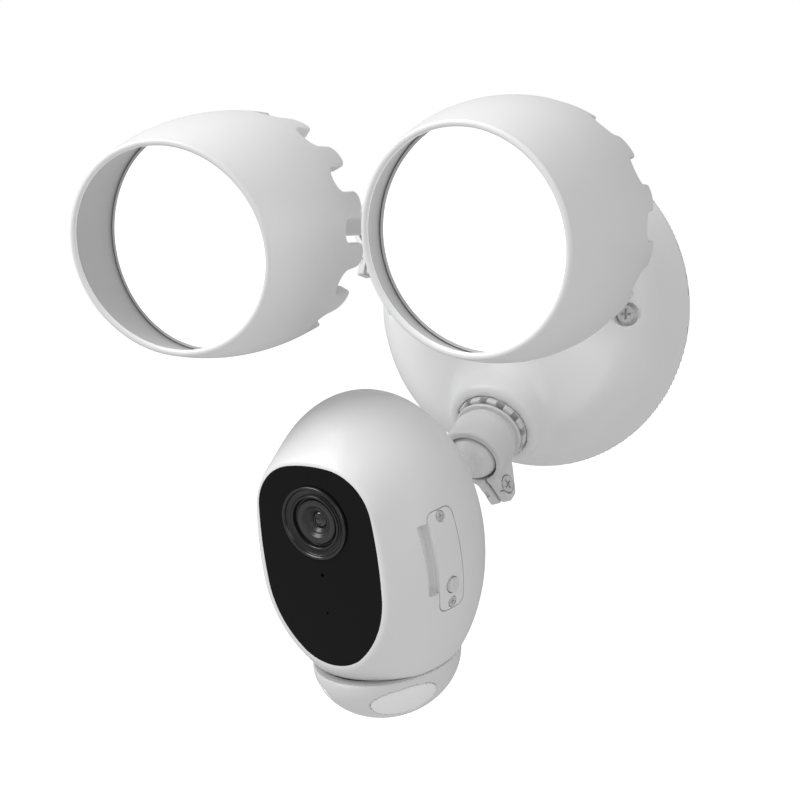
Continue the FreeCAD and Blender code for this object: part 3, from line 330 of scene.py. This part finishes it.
def outline_field(outline, margin=26.0, cell=0.4):
    """Distance from a closed outline, kept on a grid and read between its points."""
    corners = np.array(outline)
    low, high = corners.min(axis=0) - margin, corners.max(axis=0) + margin
    x, y = np.meshgrid(np.arange(low[0], high[0], cell), np.arange(low[1], high[1], cell), indexing="ij")
    nearest = np.full(x.shape, 1e9)
    inside = np.zeros(x.shape, dtype=bool)
    for a, b in zip(corners, np.roll(corners, -1, axis=0)):
        run = b - a
        share = np.clip(((x - a[0]) * run[0] + (y - a[1]) * run[1]) / run.dot(run), 0, 1)
        nearest = np.minimum(nearest, np.hypot(x - a[0] - share * run[0], y - a[1] - share * run[1]))
        if a[1] != b[1]:
            inside ^= ((a[1] > y) != (b[1] > y)) & (x < a[0] + (y - a[1]) * run[0] / run[1])
    table = np.where(inside, -nearest, nearest)

    def read(u, v):
        i = np.clip((u - low[0]) / cell, 0, table.shape[0] - 1.001)
        j = np.clip((v - low[1]) / cell, 0, table.shape[1] - 1.001)
        m, n = i.astype(int), j.astype(int)
        i, j = i - m, j - n
        return ((table[m, n] * (1 - i) + table[m + 1, n] * i) * (1 - j)
                + (table[m, n + 1] * (1 - i) + table[m + 1, n + 1] * i) * j)
    return read


def into(matrix, p):
    """Coordinates of the points in another frame."""
    m = np.array(matrix.inverted())
    return [m[i][0] * p[0] + m[i][1] * p[1] + m[i][2] * p[2] + m[i][3] for i in range(3)]


SMOOTHINGS = 3


def skin(field, low, high, cell):
    """Points and faces of the surface where the field is nought."""
    axes = [np.arange(l, h + cell, cell) for l, h in zip(low, high)]
    grid = np.meshgrid(*axes, indexing="ij")
    inside = field(grid) < 0
    total = np.zeros([n - 1 for n in inside.shape], dtype=int)
    for i in (0, 1):
        for j in (0, 1):
            for k in (0, 1):
                total += inside[tuple(slice(o, n - 1 + o) for o, n in zip((i, j, k), inside.shape))]
    active = (total > 0) & (total < 8)
    number = -np.ones(active.shape, dtype=int)
    number[active] = np.arange(active.sum())
    where = np.argwhere(active)
    points = [axes[d][where[:, d]] + cell / 2 for d in range(3)]
    quads = []
    for d in range(3):
        e, f = [(1, 2), (2, 0), (0, 1)][d]
        first = [slice(None)] * 3
        second = [slice(None)] * 3
        first[d], second[d] = slice(0, -1), slice(1, None)
        a, b = inside[tuple(first)], inside[tuple(second)]
        edges = np.argwhere(a != b)
        edges = edges[(edges[:, e] > 0) & (edges[:, f] > 0) & (edges[:, e] < inside.shape[e] - 1)
                      & (edges[:, f] < inside.shape[f] - 1)]
        corners = []
        for de, df in ((-1, -1), (0, -1), (0, 0), (-1, 0)):
            cell_index = edges.copy()
            cell_index[:, e] += de
            cell_index[:, f] += df
            corners.append(number[tuple(cell_index.T)])
        quad = np.stack(corners, axis=1)
        flip = ~a[tuple(edges.T)]
        quad[flip] = quad[flip][:, ::-1]
        quads.append(quad)
    quads = np.concatenate(quads)
    for _ in range(SMOOTHINGS):
        points = settle(field, points, cell)
        points = relax(points, quads)
    return np.array(settle(field, points, cell)).T, quads


def settle(field, points, cell, times=4):
    """Moves points along the field's slope onto the surface."""
    tiny = 0.02
    for _ in range(times):
        value = field(points)
        slope = []
        for d in range(3):
            ahead = [q + (tiny if d == i else 0) for i, q in enumerate(points)]
            behind = [q - (tiny if d == i else 0) for i, q in enumerate(points)]
            slope.append((field(ahead) - field(behind)) / (2 * tiny))
        size = np.maximum(sum(s * s for s in slope), 0.2)
        points = [q - np.clip(value * s / size, -cell, cell) for q, s in zip(points, slope)]
    return points


def relax(points, quads):
    """Moves each point halfway to the middle of its faces."""
    count = np.zeros(len(points[0]))
    np.add.at(count, quads.ravel(), 1)
    moved = []
    for q in points:
        middle = q[quads].mean(axis=1)
        total = np.zeros(len(q))
        np.add.at(total, quads.ravel(), np.repeat(middle, 4))
        moved.append(q * 0.5 + 0.5 * total / np.maximum(count, 1))
    return moved


def skinned(name, field, low, high, cell, place, material, body, hides=(), cutters=()):
    """A piece whose surface is a field's, less its cutters."""
    points, quads = skin(field, low, high, cell)
    mesh = mesh_from([tuple(p) for p in points], [tuple(int(i) for i in q) for q in quads], place)
    thing = finish_mesh(name, mesh, material, body, hides)
    for cutter in cutters:
        take_away(thing, cutter)
    if cutters:
        thing.data.shade_smooth()
        thing.data.set_sharp_from_angle(angle=SHARP)
    return thing


def take_away(thing, cutter):
    """Cuts a solid out of a piece, and removes the solid."""
    modifier = thing.modifiers.new("cut", "BOOLEAN")
    modifier.operation = "DIFFERENCE"
    modifier.solver = "EXACT"
    modifier.object = cutter
    bpy.context.view_layer.update()
    cut_mesh = bpy.data.meshes.new_from_object(thing.evaluated_get(bpy.context.evaluated_depsgraph_get()))
    thing.modifiers.clear()
    thing.data = cut_mesh
    bpy.data.objects.remove(cutter)


def as_cutter(mesh):
    """A passing object for take_away."""
    thing = bpy.data.objects.new("cutter", mesh)
    bpy.context.scene.collection.objects.link(thing)
    return thing


def rounded_edges(thing, width):
    """Small bevel on the edges of a cut piece."""
    modifier = thing.modifiers.new("edges", "BEVEL")
    modifier.width = width * MM
    modifier.segments = 3
    modifier.limit_method = "ANGLE"
    modifier.angle_limit = math.radians(50)
    normals = thing.modifiers.new("normals", "WEIGHTED_NORMAL")
    normals.weight = 100
    normals.keep_sharp = False


def prism(outline, depth, place):
    """Closed prism of an outline of (x, y) points, from z 0 to a depth."""
    count = len(outline)
    points = [(x, y, 0) for x, y in outline] + [(x, y, depth) for x, y in outline]
    faces = [tuple(range(count)), tuple(range(2 * count - 1, count - 1, -1))]
    faces += [(k, (k + 1) % count, (k + 1) % count + count, k + count) for k in range(count)]
    mesh = mesh_from(points, faces, place)
    tidy_normals(mesh)
    return mesh


# ---------------------------------------------------------------------------------------------
# Lamp heads. Z backwards from the widest section.

LAMP_RADIUS = 45.2
FRONT_ROUND, REAR_ROUND = 136.0, 150.0
SHELL_WALL = 2.4
RIM_MIDDLE = 41.0
SHELL_BACK = 8.0
PLATE_LOW, PLATE_TOP = 5.0, 10.0
PETALS = 14
PETAL_END = 26.0
GAP_HALF = 5.0
PETAL_ROUND = 4.2
CROWN_BORE = 33.5
CROWN_FLARE = 0.415
RIM_LEAN, RIM_DIP = 9.0, 7.0
DOME_RADIUS = 18.0


def shell_radius(z, inside=0.0):
    bend = FRONT_ROUND if z < 0 else REAR_ROUND
    return math.sqrt((bend - inside) ** 2 - z * z) + LAMP_RADIUS - bend


def lamp_shell(lamp):
    """Curved wall with a slanted rim that leans inwards and down. The inner wall is the same white plastic,
    but gets a dark grey material as painted shade.
    """
    side = 1 if lamp == "left_lamp" else -1
    normal = at((0, 0, 0), ("Y", -RIM_LEAN * side), ("X", RIM_DIP)).to_3x3() @ Vector((0, 0, 1))
    segments, long_steps, lip_steps = 192, 30, 10
    lip = SHELL_WALL / 2 - 0.15
    points, faces, inner_wall = [], [], []
    for turn in range(segments):
        angle = 2 * math.pi * turn / segments
        c, s = math.cos(angle), math.sin(angle)
        rim = -RIM_MIDDLE
        for _ in range(8):
            r = shell_radius(rim)
            rim = -RIM_MIDDLE - (normal.x * r * c + normal.y * r * s) / normal.z
        outline = []
        for k in range(long_steps + 1):
            z = SHELL_BACK + (rim + lip - SHELL_BACK) * k / long_steps
            outline.append((shell_radius(z), z))
        outer, inner = shell_radius(rim + lip), shell_radius(rim + lip, SHELL_WALL)
        middle, half = (outer + inner) / 2, (outer - inner) / 2
        for k in range(1, lip_steps):
            t = math.pi * k / lip_steps
            outline.append((middle + half * math.cos(t), rim + lip - lip * math.sin(t)))
        for k in range(long_steps + 1):
            z = rim + lip + (SHELL_BACK - rim - lip) * k / long_steps
            outline.append((shell_radius(z, SHELL_WALL), z))
        count = len(outline)
        points += [(r * c, r * s, z) for r, z in outline]
        following = (turn + 1) % segments
        for k in range(count):
            m = (k + 1) % count
            faces.append((turn * count + k, turn * count + m, following * count + m, following * count + k))
            inner_wall.append(long_steps + lip_steps <= k < count - 1)
    mesh = mesh_from(points, faces, lamp_frame(lamp))
    tidy_normals(mesh)
    finish_mesh(lamp + "_shell_skin", mesh, WHITE, lamp, (lamp + "_shell",))
    mesh.materials.append(PAINTED_SHADE_LINER)
    # The inner wall faces get the dark grey painted shade material.
    for face, in_painted_shade in zip(mesh.polygons, inner_wall):
        face.material_index = 1 if in_painted_shade else 0


def crown_field(p):
    """Ring of rounded petals that carries the shell's curve on, thick at the foot and thin at the tip."""
    x, y, z = p
    radius = np.hypot(x, y)
    outer = np.hypot(radius + REAR_ROUND - LAMP_RADIUS, z) - REAR_ROUND + 0.02
    inside = np.maximum(radius - CROWN_BORE - CROWN_FLARE * (z - PLATE_TOP), PLATE_TOP - z)
    wall = both(outer, -inside, 0.9)
    pitch = 2 * math.pi / PETALS
    angle = np.arctan2(y, x)
    across = np.abs(radius * np.sin(angle - pitch * np.round(angle / pitch)))
    low, high = PLATE_TOP + GAP_HALF, PETAL_END - PETAL_ROUND
    foot = GAP_HALF - np.hypot(across, z - low)
    tip = np.hypot(np.maximum(GAP_HALF + PETAL_ROUND - across, 0), z - high) - PETAL_ROUND
    petal = np.where(z < low, foot, np.where(z > high, tip, GAP_HALF - across))
    return both(both(wall, petal, 0.8), PLATE_LOW - z, 0.3)


def lamp_head(lamp):
    lamp_shell(lamp)
    place = lamp_frame(lamp)
    skinned(lamp + "_petal_crown", crown_field, (-46, -46, 4), (46, 46, 27), 0.6, place, WHITE, lamp,
            (lamp + "_heat_sink",))
    radius, middle = DOME_RADIUS, CAP_MIDDLE
    lathe(lamp + "_rear_dome", [
        (radius - 2.5, PLATE_TOP), (radius + 1.2, PLATE_TOP), (radius, PLATE_TOP + 1.2, -1.2),
        (radius, middle), (0, middle + radius, radius), (0, middle + radius - 2.5),
        (radius - 2.5, middle, 2.5 - radius)],
        place, WHITE, lamp, (lamp + "_rear_cap",), pieces=14)
    lathe(lamp + "_diffuser_dish", [
        (0, -19.2), (39.8, -18.0, 660.6), (40.15, -17.6, 0.5), (40.15, -16.2), (0, -16.2)],
        place, GLOW, lamp, (lamp + "_diffuser",), pieces=12)


for name in LAMPS:
    lamp_head(name)

# ---------------------------------------------------------------------------------------------
# Wall base. Z away from the wall.

BASE_RADIUS = 70.0
SIDE_SLOPE = 0.311
CROWN_ROUND = 258.96
CROWN_HEIGHT = 38.0
BASE_WALL = 2.6
HOUSING_FOOT = 1.6
SLOPE_FOOT = 3.1
MOUND_FOOT, MOUND_TOP = -42.0, -17.6
MOUND_RADII = (22.0, 19.5)
WELL_RADIUS, RING_SEAT, SPINDLE_HOLE = 16.9, 15.4, 10.2
RING_FLOOR = MOUND_TOP - 2.0
SCREW_OFFSET = 53.4
RECESS_FLOOR = 28.2
SCREW_POST, SCREW_RECESS = 7.4, 5.0
BOARD_POST, BOARD_LEVEL = 3.0, 10.6
BOARD_POSTS = ((-34, -20), (34, -20), (-12, 24), (12, 24))
BOSS = {arm: WALL.inverted() @ arm_frame(arm) for arm in ARMS}


def upright(p, x, y, radius):
    return np.hypot(p[0] - x, p[1] - y) - radius


def base_field(p):
    """Domed shell with a mound and a seat for each arm, two screw recesses and the board's posts."""
    radius, z = np.hypot(p[0], p[1]), p[2]
    side = (radius - BASE_RADIUS + SIDE_SLOPE * (z - SLOPE_FOOT)) / math.hypot(1, SIDE_SLOPE)
    crown = np.hypot(radius, z - CROWN_HEIGHT + CROWN_ROUND) - CROWN_ROUND
    outer = both(side, crown, 9.0)
    inner = both(side + BASE_WALL, crown + BASE_WALL, 6.5)
    seats = np.full(z.shape, 1e3)
    for boss in BOSS.values():
        q = into(boss, p)
        spread = np.hypot(q[0], q[1])
        wall, ends = turned_cone(q, MOUND_FOOT, MOUND_TOP, *MOUND_RADII)
        outer = either(outer, both(wall, ends, 3.0), 6.0)
        inner = either(inner, np.maximum(spread - WELL_RADIUS, np.maximum(q[2] + 25, -48 - q[2])), 1.0)
        inner = np.maximum(inner, -np.maximum(spread - WELL_RADIUS, np.abs(q[2] + 21.8) - 3.2))
        seats = np.minimum(seats, np.maximum(spread - RING_SEAT, RING_FLOOR - q[2]))
        seats = np.minimum(seats, np.maximum(spread - SPINDLE_HOLE, -30 - q[2]))
    posts = np.full(z.shape, 1e3)
    for turn in (-1, 1):
        posts = np.minimum(posts, upright(p, turn * SCREW_OFFSET, 0, SCREW_POST))
        recess = upright(p, turn * SCREW_OFFSET, 0, SCREW_RECESS)
        seats = np.minimum(seats, both(recess, RECESS_FLOOR - z, 0.2))
    for x, y in BOARD_POSTS:
        posts = np.minimum(posts, np.maximum(upright(p, x, y, BOARD_POST), BOARD_LEVEL - z))
    solid = both(outer, -both(inner, -posts, 0.6), 0.5)
    return both(both(solid, -seats, 0.5), HOUSING_FOOT - z, 0.4)


skinned("base_skin", base_field, (-71, -71, 0), (71, 71, 55), 1.0, WALL, WHITE, "wall_base",
        ("base_housing",))


RING_OUTER, RING_BORE, RING_HEIGHT = 15.2, 10.3, 4.4
RING_GAPS = 12


def ring_field(p):
    """Lock ring with gaps in its edge."""
    radius, z = np.hypot(p[0], p[1]), p[2]
    band = both(both(radius - RING_OUTER, z - RING_HEIGHT, 0.5), both(RING_BORE - radius, -z, 0.3), 0.3)
    pitch = 2 * math.pi / RING_GAPS
    angle = np.arctan2(p[1], p[0])
    across = np.abs(radius * np.sin(angle - pitch * np.round(angle / pitch)))
    return both(band, -both(across - 1.7, 1.8 - z, 0.3), 0.4)


# ---------------------------------------------------------------------------------------------
# Arms and ball studs. Z along the arm, from the ball's centre, X towards the clamp lug.

BALL = 11.0
BALL_FREE = 0.55
SOCKET_RADIUS, NECK_RADIUS, FLANGE_RADIUS, SPINDLE_RADIUS = 13.5, 12.1, 14.2, 10.0
WIRE_BORE = 6.0
STEM_RADIUS = 5.0
LUG_HALF, SLIT_HALF = 5.5, 0.75
SCREW_HEAD_SEAT, NUT_SEAT = 3.9, 4.1
LUG_EDGES = (((14.3, -9.9), (0.41, -0.91)), ((20.2, -4.6), (0.68, -0.73)), ((24.0, 1.0), (1.0, 0.0)),
             ((20.0, 4.4), (0.0, 1.0)))
SCREW_AT = (18.0, 0.2)


def arm_field(p):
    """Split socket with its clamp lug, on a neck, a flange and a hollow spindle."""
    x, y, z = p
    radius = np.hypot(x, y)
    body = both(radius - SOCKET_RADIUS, np.abs(z + 3.1) - 7.5, 0.9)
    neck = both(radius - NECK_RADIUS, np.abs(z + 10) - 5.0, 0.4)
    flange = both(radius - FLANGE_RADIUS, np.abs(z + 14.05) - 0.85, 0.6)
    spindle = np.maximum(radius - SPINDLE_RADIUS, np.abs(z + 21) - 8)
    tube = either(either(either(body, neck, 0.5), flange, 0.4), spindle, 0.2)
    lug = np.abs(y) - LUG_HALF
    for (px, pz), (nx, nz) in LUG_EDGES:
        lug = both(lug, (x - px) * nx + (z - pz) * nz, 0.9)
    solid = either(tube, np.maximum(lug, 11.8 - x), 1.4)
    hollow = either(ball_field(p, BALL + BALL_FREE), np.maximum(radius - WIRE_BORE, z), 0.5)
    slit = np.maximum(np.abs(y) - SLIT_HALF, np.maximum(10 - x, np.abs(z + 1.9) - 8))
    across = np.hypot(x - SCREW_AT[0], z - SCREW_AT[1])
    seats = np.minimum(np.maximum(across - SCREW_HEAD_SEAT, 3 - y), np.maximum(across - NUT_SEAT, y + 3))
    return both(both(solid, -np.minimum(hollow, slit), 0.35), -seats, 0.35)


for name in ARMS:
    body = name + "_swivel"
    skinned(name + "_arm_skin", arm_field, (-15.5, -15.5, -30), (25, 15.5, 5.2), 0.55,
            arm_frame(name, LUG_TURN[name]), ARM_WHITE, body, (name + "_arm",))
    head = "camera_head" if name == "camera" else name
    collar = 46.0 if name == "camera" else 58.9
    lathe(name + "_ball_and_stem", [
        (0, -10.9), (2.0, -10.82), (STEM_RADIUS, 9.4, BALL), (5.4, 10.4, -1.6), (STEM_RADIUS, 12.4, 6.0),
        (STEM_RADIUS, collar),
        (8.0, collar), (8.0, collar + 3), (0, collar + 3)],
        stem_frame(name), ARM_WHITE, head, (name + "_ball_stud",), pieces=28)

    skinned(name + "_lock_ring", ring_field, (-16, -16, -0.6), (16, 16, 5), 0.45,
            arm_frame(name) @ at((0, 0, RING_FLOOR)), ARM_WHITE, "wall_base", ("lock_rings",))

# ---------------------------------------------------------------------------------------------
# Camera head. X right, Y back, Z up, from the middle of the egg.

HEAD = head_frame()
HEAD_HALF = (41.0, 45.0, 60.0)
FACE = -33.0
SEAM = -43.5
BEZEL = 2.0
PANEL_HALF, PANEL_TOP, PANEL_BOTTOM = 25.8, 43.0, -35.0
PANEL_SINK, PANEL_THICK = 3.2, 2.0
FRAME_BACK = -11.0
BEZEL_SLOPE = 1.1
HUB_NEAR, HUB_FAR = 16.0, 46.0
HUB_RADII = (8.0, 17.0)
LENS_HEIGHT = 21.5
COVER_Y, COVER_Z, COVER_HALF = -8.7, 2.5, (6.2, 19.0)
COVER_THICK = 1.2
NOTCH_WIDTH, NOTCH_HALF = 4.6, 13.5
BUTTON_Z = COVER_Z - 9.9
COVER_SCREWS = (COVER_Z + 16.6, COVER_Z - 16.6)
BOWL_TOP = SEAM - 0.6
BOWL_HALF = (27.88, 30.6, 24.0)
HUB = HEAD.inverted() @ stem_frame("camera")


def panel_outline(edge=0.0):
    """Face panel: an upright oval with a flatter crown, of arcs between four joints on each side.

    A joint has its place and the direction in which a wider outline moves it.
    """
    half, top, bottom = PANEL_HALF, PANEL_TOP, PANEL_BOTTOM
    joints = [(9.0, top - 0.7, 0.162, 0.987), (half - 0.9, top - 18.0, 0.995, 0.103),
              (half - 0.5, bottom + 29.0, 0.996, -0.085), (12.0, bottom + 4.0, 0.633, -0.774)]
    crown, shoulder, side, jaw = [(x + edge * across, y + edge * up) for x, y, across, up in joints]
    return trace([
        (-shoulder[0], shoulder[1], edge + 19.1), (-side[0], side[1], edge + 170),
        (-jaw[0], jaw[1], edge + 38),
        (*jaw, edge + 20), (*side, edge + 38), (*shoulder, edge + 170), (*crown, edge + 19.1),
        (-crown[0], crown[1], edge + 56)], 14)


bezel_edge = outline_field(panel_outline(BEZEL))


def head_field(p):
    """Egg that draws in to the panel's bezel, with a cone for the stem behind and a flat foot."""
    x, y, z = p
    edge = bezel_edge(x, z)
    side, ends = turned_cone(into(HUB, p), HUB_NEAR, HUB_FAR, *HUB_RADII)
    front = either(egg_field(p, *HEAD_HALF), np.maximum(edge, y - FRAME_BACK), 7.0)
    body = either(front, both(side, ends, 1.5), 7.0)
    slope = (edge - BEZEL_SLOPE * (y - FACE)) / 1.49
    return both(both(both(body, slope, 4.0), FACE - y, 1.0), SEAM - z, 0.8)


def side_x(y, z, depth=0.0):
    """Distance of the egg's side from the middle plane."""
    a, b, c = (half - depth for half in HEAD_HALF)
    return a * math.sqrt(1 - (y / b) ** 2 - (z / c) ** 2)


def side_block(middle, half, corner, inner, outer, across=14, along=40):
    """Closed block on the side of the head, with round corners. inner and outer give X at (y, z)."""
    points, faces = [], []
    for row in range(along + 1):
        z = -half[1] * math.cos(math.pi * row / along)
        over = max(abs(z) - half[1] + corner, 0)
        width = half[0] - corner + math.sqrt(max(corner * corner - over * over, 0))
        for side in (inner, outer):
            for k in range(across + 1):
                y = middle[0] + width * (2 * k / across - 1)
                points.append((side(y, middle[1] + z), y, middle[1] + z))
    count = across + 1
    for row in range(along):
        first, following = 2 * count * row, 2 * count * (row + 1)
        for side in (0, count):
            faces += [(first + side + k, first + side + k + 1, following + side + k + 1, following + side + k)
                      for k in range(across)]
        for k in (0, across):
            faces.append((first + k, following + k, following + count + k, first + count + k))
    for row in (0, along):
        first = 2 * count * row
        faces += [(first + k, first + k + 1, first + count + k + 1, first + count + k) for k in range(across)]
    mesh = mesh_from(points, faces, HEAD)
    tidy_normals(mesh)
    return mesh


def rod(radius, low, high, place, sides=48):
    """Round cutter along the frame's Z."""
    ring = [(radius * math.cos(2 * math.pi * k / sides), radius * math.sin(2 * math.pi * k / sides))
            for k in range(sides)]
    return as_cutter(prism(ring, high - low, place @ at((0, 0, low))))


def beyond(y, z):
    """X past the side of the head."""
    return 50.0


def trough(y, z):
    """Floor of the finger notch, deepest beside the cover."""
    share = (y - COVER_Y + COVER_HALF[0] + NOTCH_WIDTH) / NOTCH_WIDTH
    return side_x(y, z, 0.5 + 3.3 * min(max(share, 0), 1))


def side_way(z):
    """Frame on the head's side at a height on the cover's middle line, Z outwards."""
    return HEAD @ at((side_x(COVER_Y, z), COVER_Y, z), ("Y", 90))


FACE_PLACE = HEAD @ at((0, FACE, 0), ("X", 90))
panel_pocket = as_cutter(prism(panel_outline(0.12), 12, FACE_PLACE @ at((0, 0, -PANEL_SINK))))
cover_pocket = as_cutter(side_block((COVER_Y, COVER_Z), [h + 0.35 for h in COVER_HALF], 3.6,
                                    lambda y, z: side_x(y, z, COVER_THICK + 0.1), beyond))
finger_notch = as_cutter(side_block((COVER_Y - COVER_HALF[0] - 2.4, COVER_Z + 2.5),
                                    (NOTCH_WIDTH / 2, NOTCH_HALF), 0.8, trough, beyond))
button_well = rod(2.9, -8, 6, side_way(BUTTON_Z))
skinned("head_skin", head_field, (-42, -36, -45), (42, 66, 62), 0.9, HEAD, WHITE, "camera_head",
        ("camera_housing",), (panel_pocket, cover_pocket, finger_notch, button_well))

cover = finish_mesh("card_cover_plate", side_block(
    (COVER_Y, COVER_Z), COVER_HALF, 3.3, lambda y, z: side_x(y, z, COVER_THICK), side_x, 30, 60),
    WHITE, "camera_head", ("card_cover",))
take_away(cover, rod(3.15, -8, 6, side_way(BUTTON_Z)))
for height in COVER_SCREWS:
    take_away(cover, rod(2.15, -8, 6, side_way(height)))
rounded_edges(cover, 0.2)

panel = finish_mesh("glossy_panel", prism(
    panel_outline(), PANEL_THICK, FACE_PLACE @ at((0, 0, -PANEL_THICK))), PANEL,
                    "camera_head", ("face_panel",))
PANEL_HOLES = ((14.05, LENS_HEIGHT), (0.7, 1.0), (0.45, -14.0))
for radius, height in PANEL_HOLES:
    take_away(panel, rod(radius, -4, 3, FACE_PLACE @ at((0, height, 0))))
rounded_edges(panel, 0.35)

LENS_PLACE = FACE_PLACE @ at((0, LENS_HEIGHT, 0))
lathe("lens_ring_turned", [
    (9.6, -4.0), (14.0, -4.0), (14.0, 0.7), (13.5, 1.25, 0.6), (13.1, 1.2, 0.5), (12.7, 0.6),
    (12.5, 0.2, -0.6), (10.9, -0.2), (10.6, -0.1), (10.4, 0.35, -0.9), (10.0, 0.5, 0.4), (9.6, 0.2, 0.5)],
    LENS_PLACE, RING_BLACK, "camera_head", ("lens_ring",), pieces=5)
lathe("lens_barrel_turned", [
    (0, -5.0), (9.5, -5.0), (9.5, -1.4), (8.9, -1.7, -0.6), (8.5, -1.4, -0.6), (8.4, -0.8), (8.1, -0.5, 0.4),
    (6.3, -0.6), (6.0, -0.8, 0.4), (4.9, -1.7), (4.7, -1.6, -0.3), (4.3, -1.7, 0.4), (3.6, -2.5), (3.1, -3.0),
    (3.1, -3.6), (0, -3.6)],
    LENS_PLACE, BARREL_BLACK, "camera_head", ("lens_barrel",), pieces=5)
lathe("front_lens", [
    (0, -3.6), (3.1, -3.6), (3.1, -2.9), (2.0, -2.15, 3.6), (1.85, -2.0), (1.6, -2.0, 0.4), (1.5, -2.3),
    (0, -1.9, 3.0)],
    LENS_PLACE, LENS, "camera_head", ("lens_glass",), pieces=8)


# ---------------------------------------------------------------------------------------------
# Sensor bowl under the head, with its two milky windows.

BOWL_WALL = 1.6
WINDOW_TURN, WINDOW_TIP = 48.0, 28.0
WINDOW_HALF = (14, 6, 7.5)


def bowl_shell(p, proud=0.0):
    ball = egg_field([p[0], p[1], p[2] - BOWL_TOP], *BOWL_HALF)
    return both(both(ball - proud, -ball - BOWL_WALL, 0.3), p[2] - BOWL_TOP, 0.3)


def window_outline(p, side):
    turn = math.radians(WINDOW_TURN)
    middle = (side * 25 * math.sin(turn), -25 * math.cos(turn), SEAM - 10.5)
    place = at(middle, ("Z", side * WINDOW_TURN), ("X", WINDOW_TIP))
    return egg_field(into(place, p), *WINDOW_HALF)


def bowl_field(p):
    shell = bowl_shell(p)
    for side in (-1, 1):
        shell = both(shell, -window_outline(p, side) + 0.15, 0.2)
    return shell


def window_field(p):
    windows = np.minimum(window_outline(p, -1), window_outline(p, 1))
    return both(bowl_shell(p, 0.05), windows, 0.2)


BOWL_LOW, BOWL_HIGH = (-29, -32, -69), (29, 32, -43.5)
skinned("bowl_skin", bowl_field, BOWL_LOW, BOWL_HIGH, 0.7, HEAD, MILKY, "camera_head", ("pir_bowl",))
skinned("bowl_window_skin", window_field, BOWL_LOW, BOWL_HIGH, 0.7, HEAD, WINDOW, "camera_head",
        ("pir_windows",))

# ---------------------------------------------------------------------------------------------
# Camera, lights and backdrop.

scene = bpy.context.scene
scene.view_settings.view_transform = "Standard"
scene.view_settings.look = "None"

camera_data = bpy.data.cameras.new("camera")
camera_data.lens = 81.0
camera_data.sensor_width = 36.0
camera_data.clip_start = 0.02
camera_data.clip_end = 20.0
camera = bpy.data.objects.new("camera", camera_data)
scene.collection.objects.link(camera)
AZIMUTH, ELEVATION = 29.0, 7.0
CAMERA_PLACE = [length * MM for length in (326.1, -710.8, 54.2)]
camera.matrix_world = at(CAMERA_PLACE, ("Z", AZIMUTH), ("X", 90 - ELEVATION))
scene.camera = camera


def area_light(name, place, aim, size, power):
    data = bpy.data.lights.new(name, "AREA")
    data.shape = "DISK"
    data.size = size
    data.energy = power
    thing = bpy.data.objects.new(name, data)
    scene.collection.objects.link(thing)
    thing.location = place
    thing.rotation_euler = (Vector(aim) - Vector(place)).to_track_quat("-Z", "Y").to_euler()


MIDDLE = (0.0, -0.1, 0.0)
area_light("key", (-0.9, -1.0, 1.3), MIDDLE, 1.4, 33)
area_light("fill", (1.4, -0.9, 0.3), MIDDLE, 1.2, 5)

world = bpy.data.worlds.new("studio")
scene.world = world
world.use_nodes = True
world_nodes, world_links = world.node_tree.nodes, world.node_tree.links
backdrop = world_nodes["Background"]
backdrop.inputs["Color"].default_value = (1, 1, 1, 1)
seen = world_nodes.new("ShaderNodeLightPath")
amount = world_nodes.new("ShaderNodeMapRange")
amount.inputs["To Min"].default_value = 0.46
amount.inputs["To Max"].default_value = 1.0
world_links.new(seen.outputs["Is Camera Ray"], amount.inputs["Value"])
world_links.new(amount.outputs["Result"], backdrop.inputs["Strength"])


def pale_floor():
    """Pale floor: bright to the camera, but a weak light on the object."""
    material, nodes, links, shader = new_material("pale_floor")
    grain = add_noise(nodes, links, 9.0)
    links.new(add_range(nodes, links, grain.outputs["Fac"], 0.75, 0.85), shader.inputs["Roughness"])
    shader.inputs["Base Color"].default_value = (0.62, 0.62, 0.62, 1)
    shader.inputs["Emission Color"].default_value = (1, 1, 1, 1)
    seen_by = nodes.new("ShaderNodeLightPath")
    brightness = add_range(nodes, links, seen_by.outputs["Is Camera Ray"], 0.0, 0.9)
    links.new(brightness, shader.inputs["Emission Strength"])
    return material


floor_mesh = bpy.data.meshes.new("floor")
FLOOR, FLOOR_DROP = 6.0, -0.6
floor_mesh.from_pydata([(-FLOOR, -FLOOR, FLOOR_DROP), (FLOOR, -FLOOR, FLOOR_DROP), (FLOOR, FLOOR, FLOOR_DROP),
                        (-FLOOR, FLOOR, FLOOR_DROP)], [], [(0, 1, 2, 3)])
floor = bpy.data.objects.new("floor", floor_mesh)
scene.collection.objects.link(floor)
floor_mesh.materials.append(pale_floor())
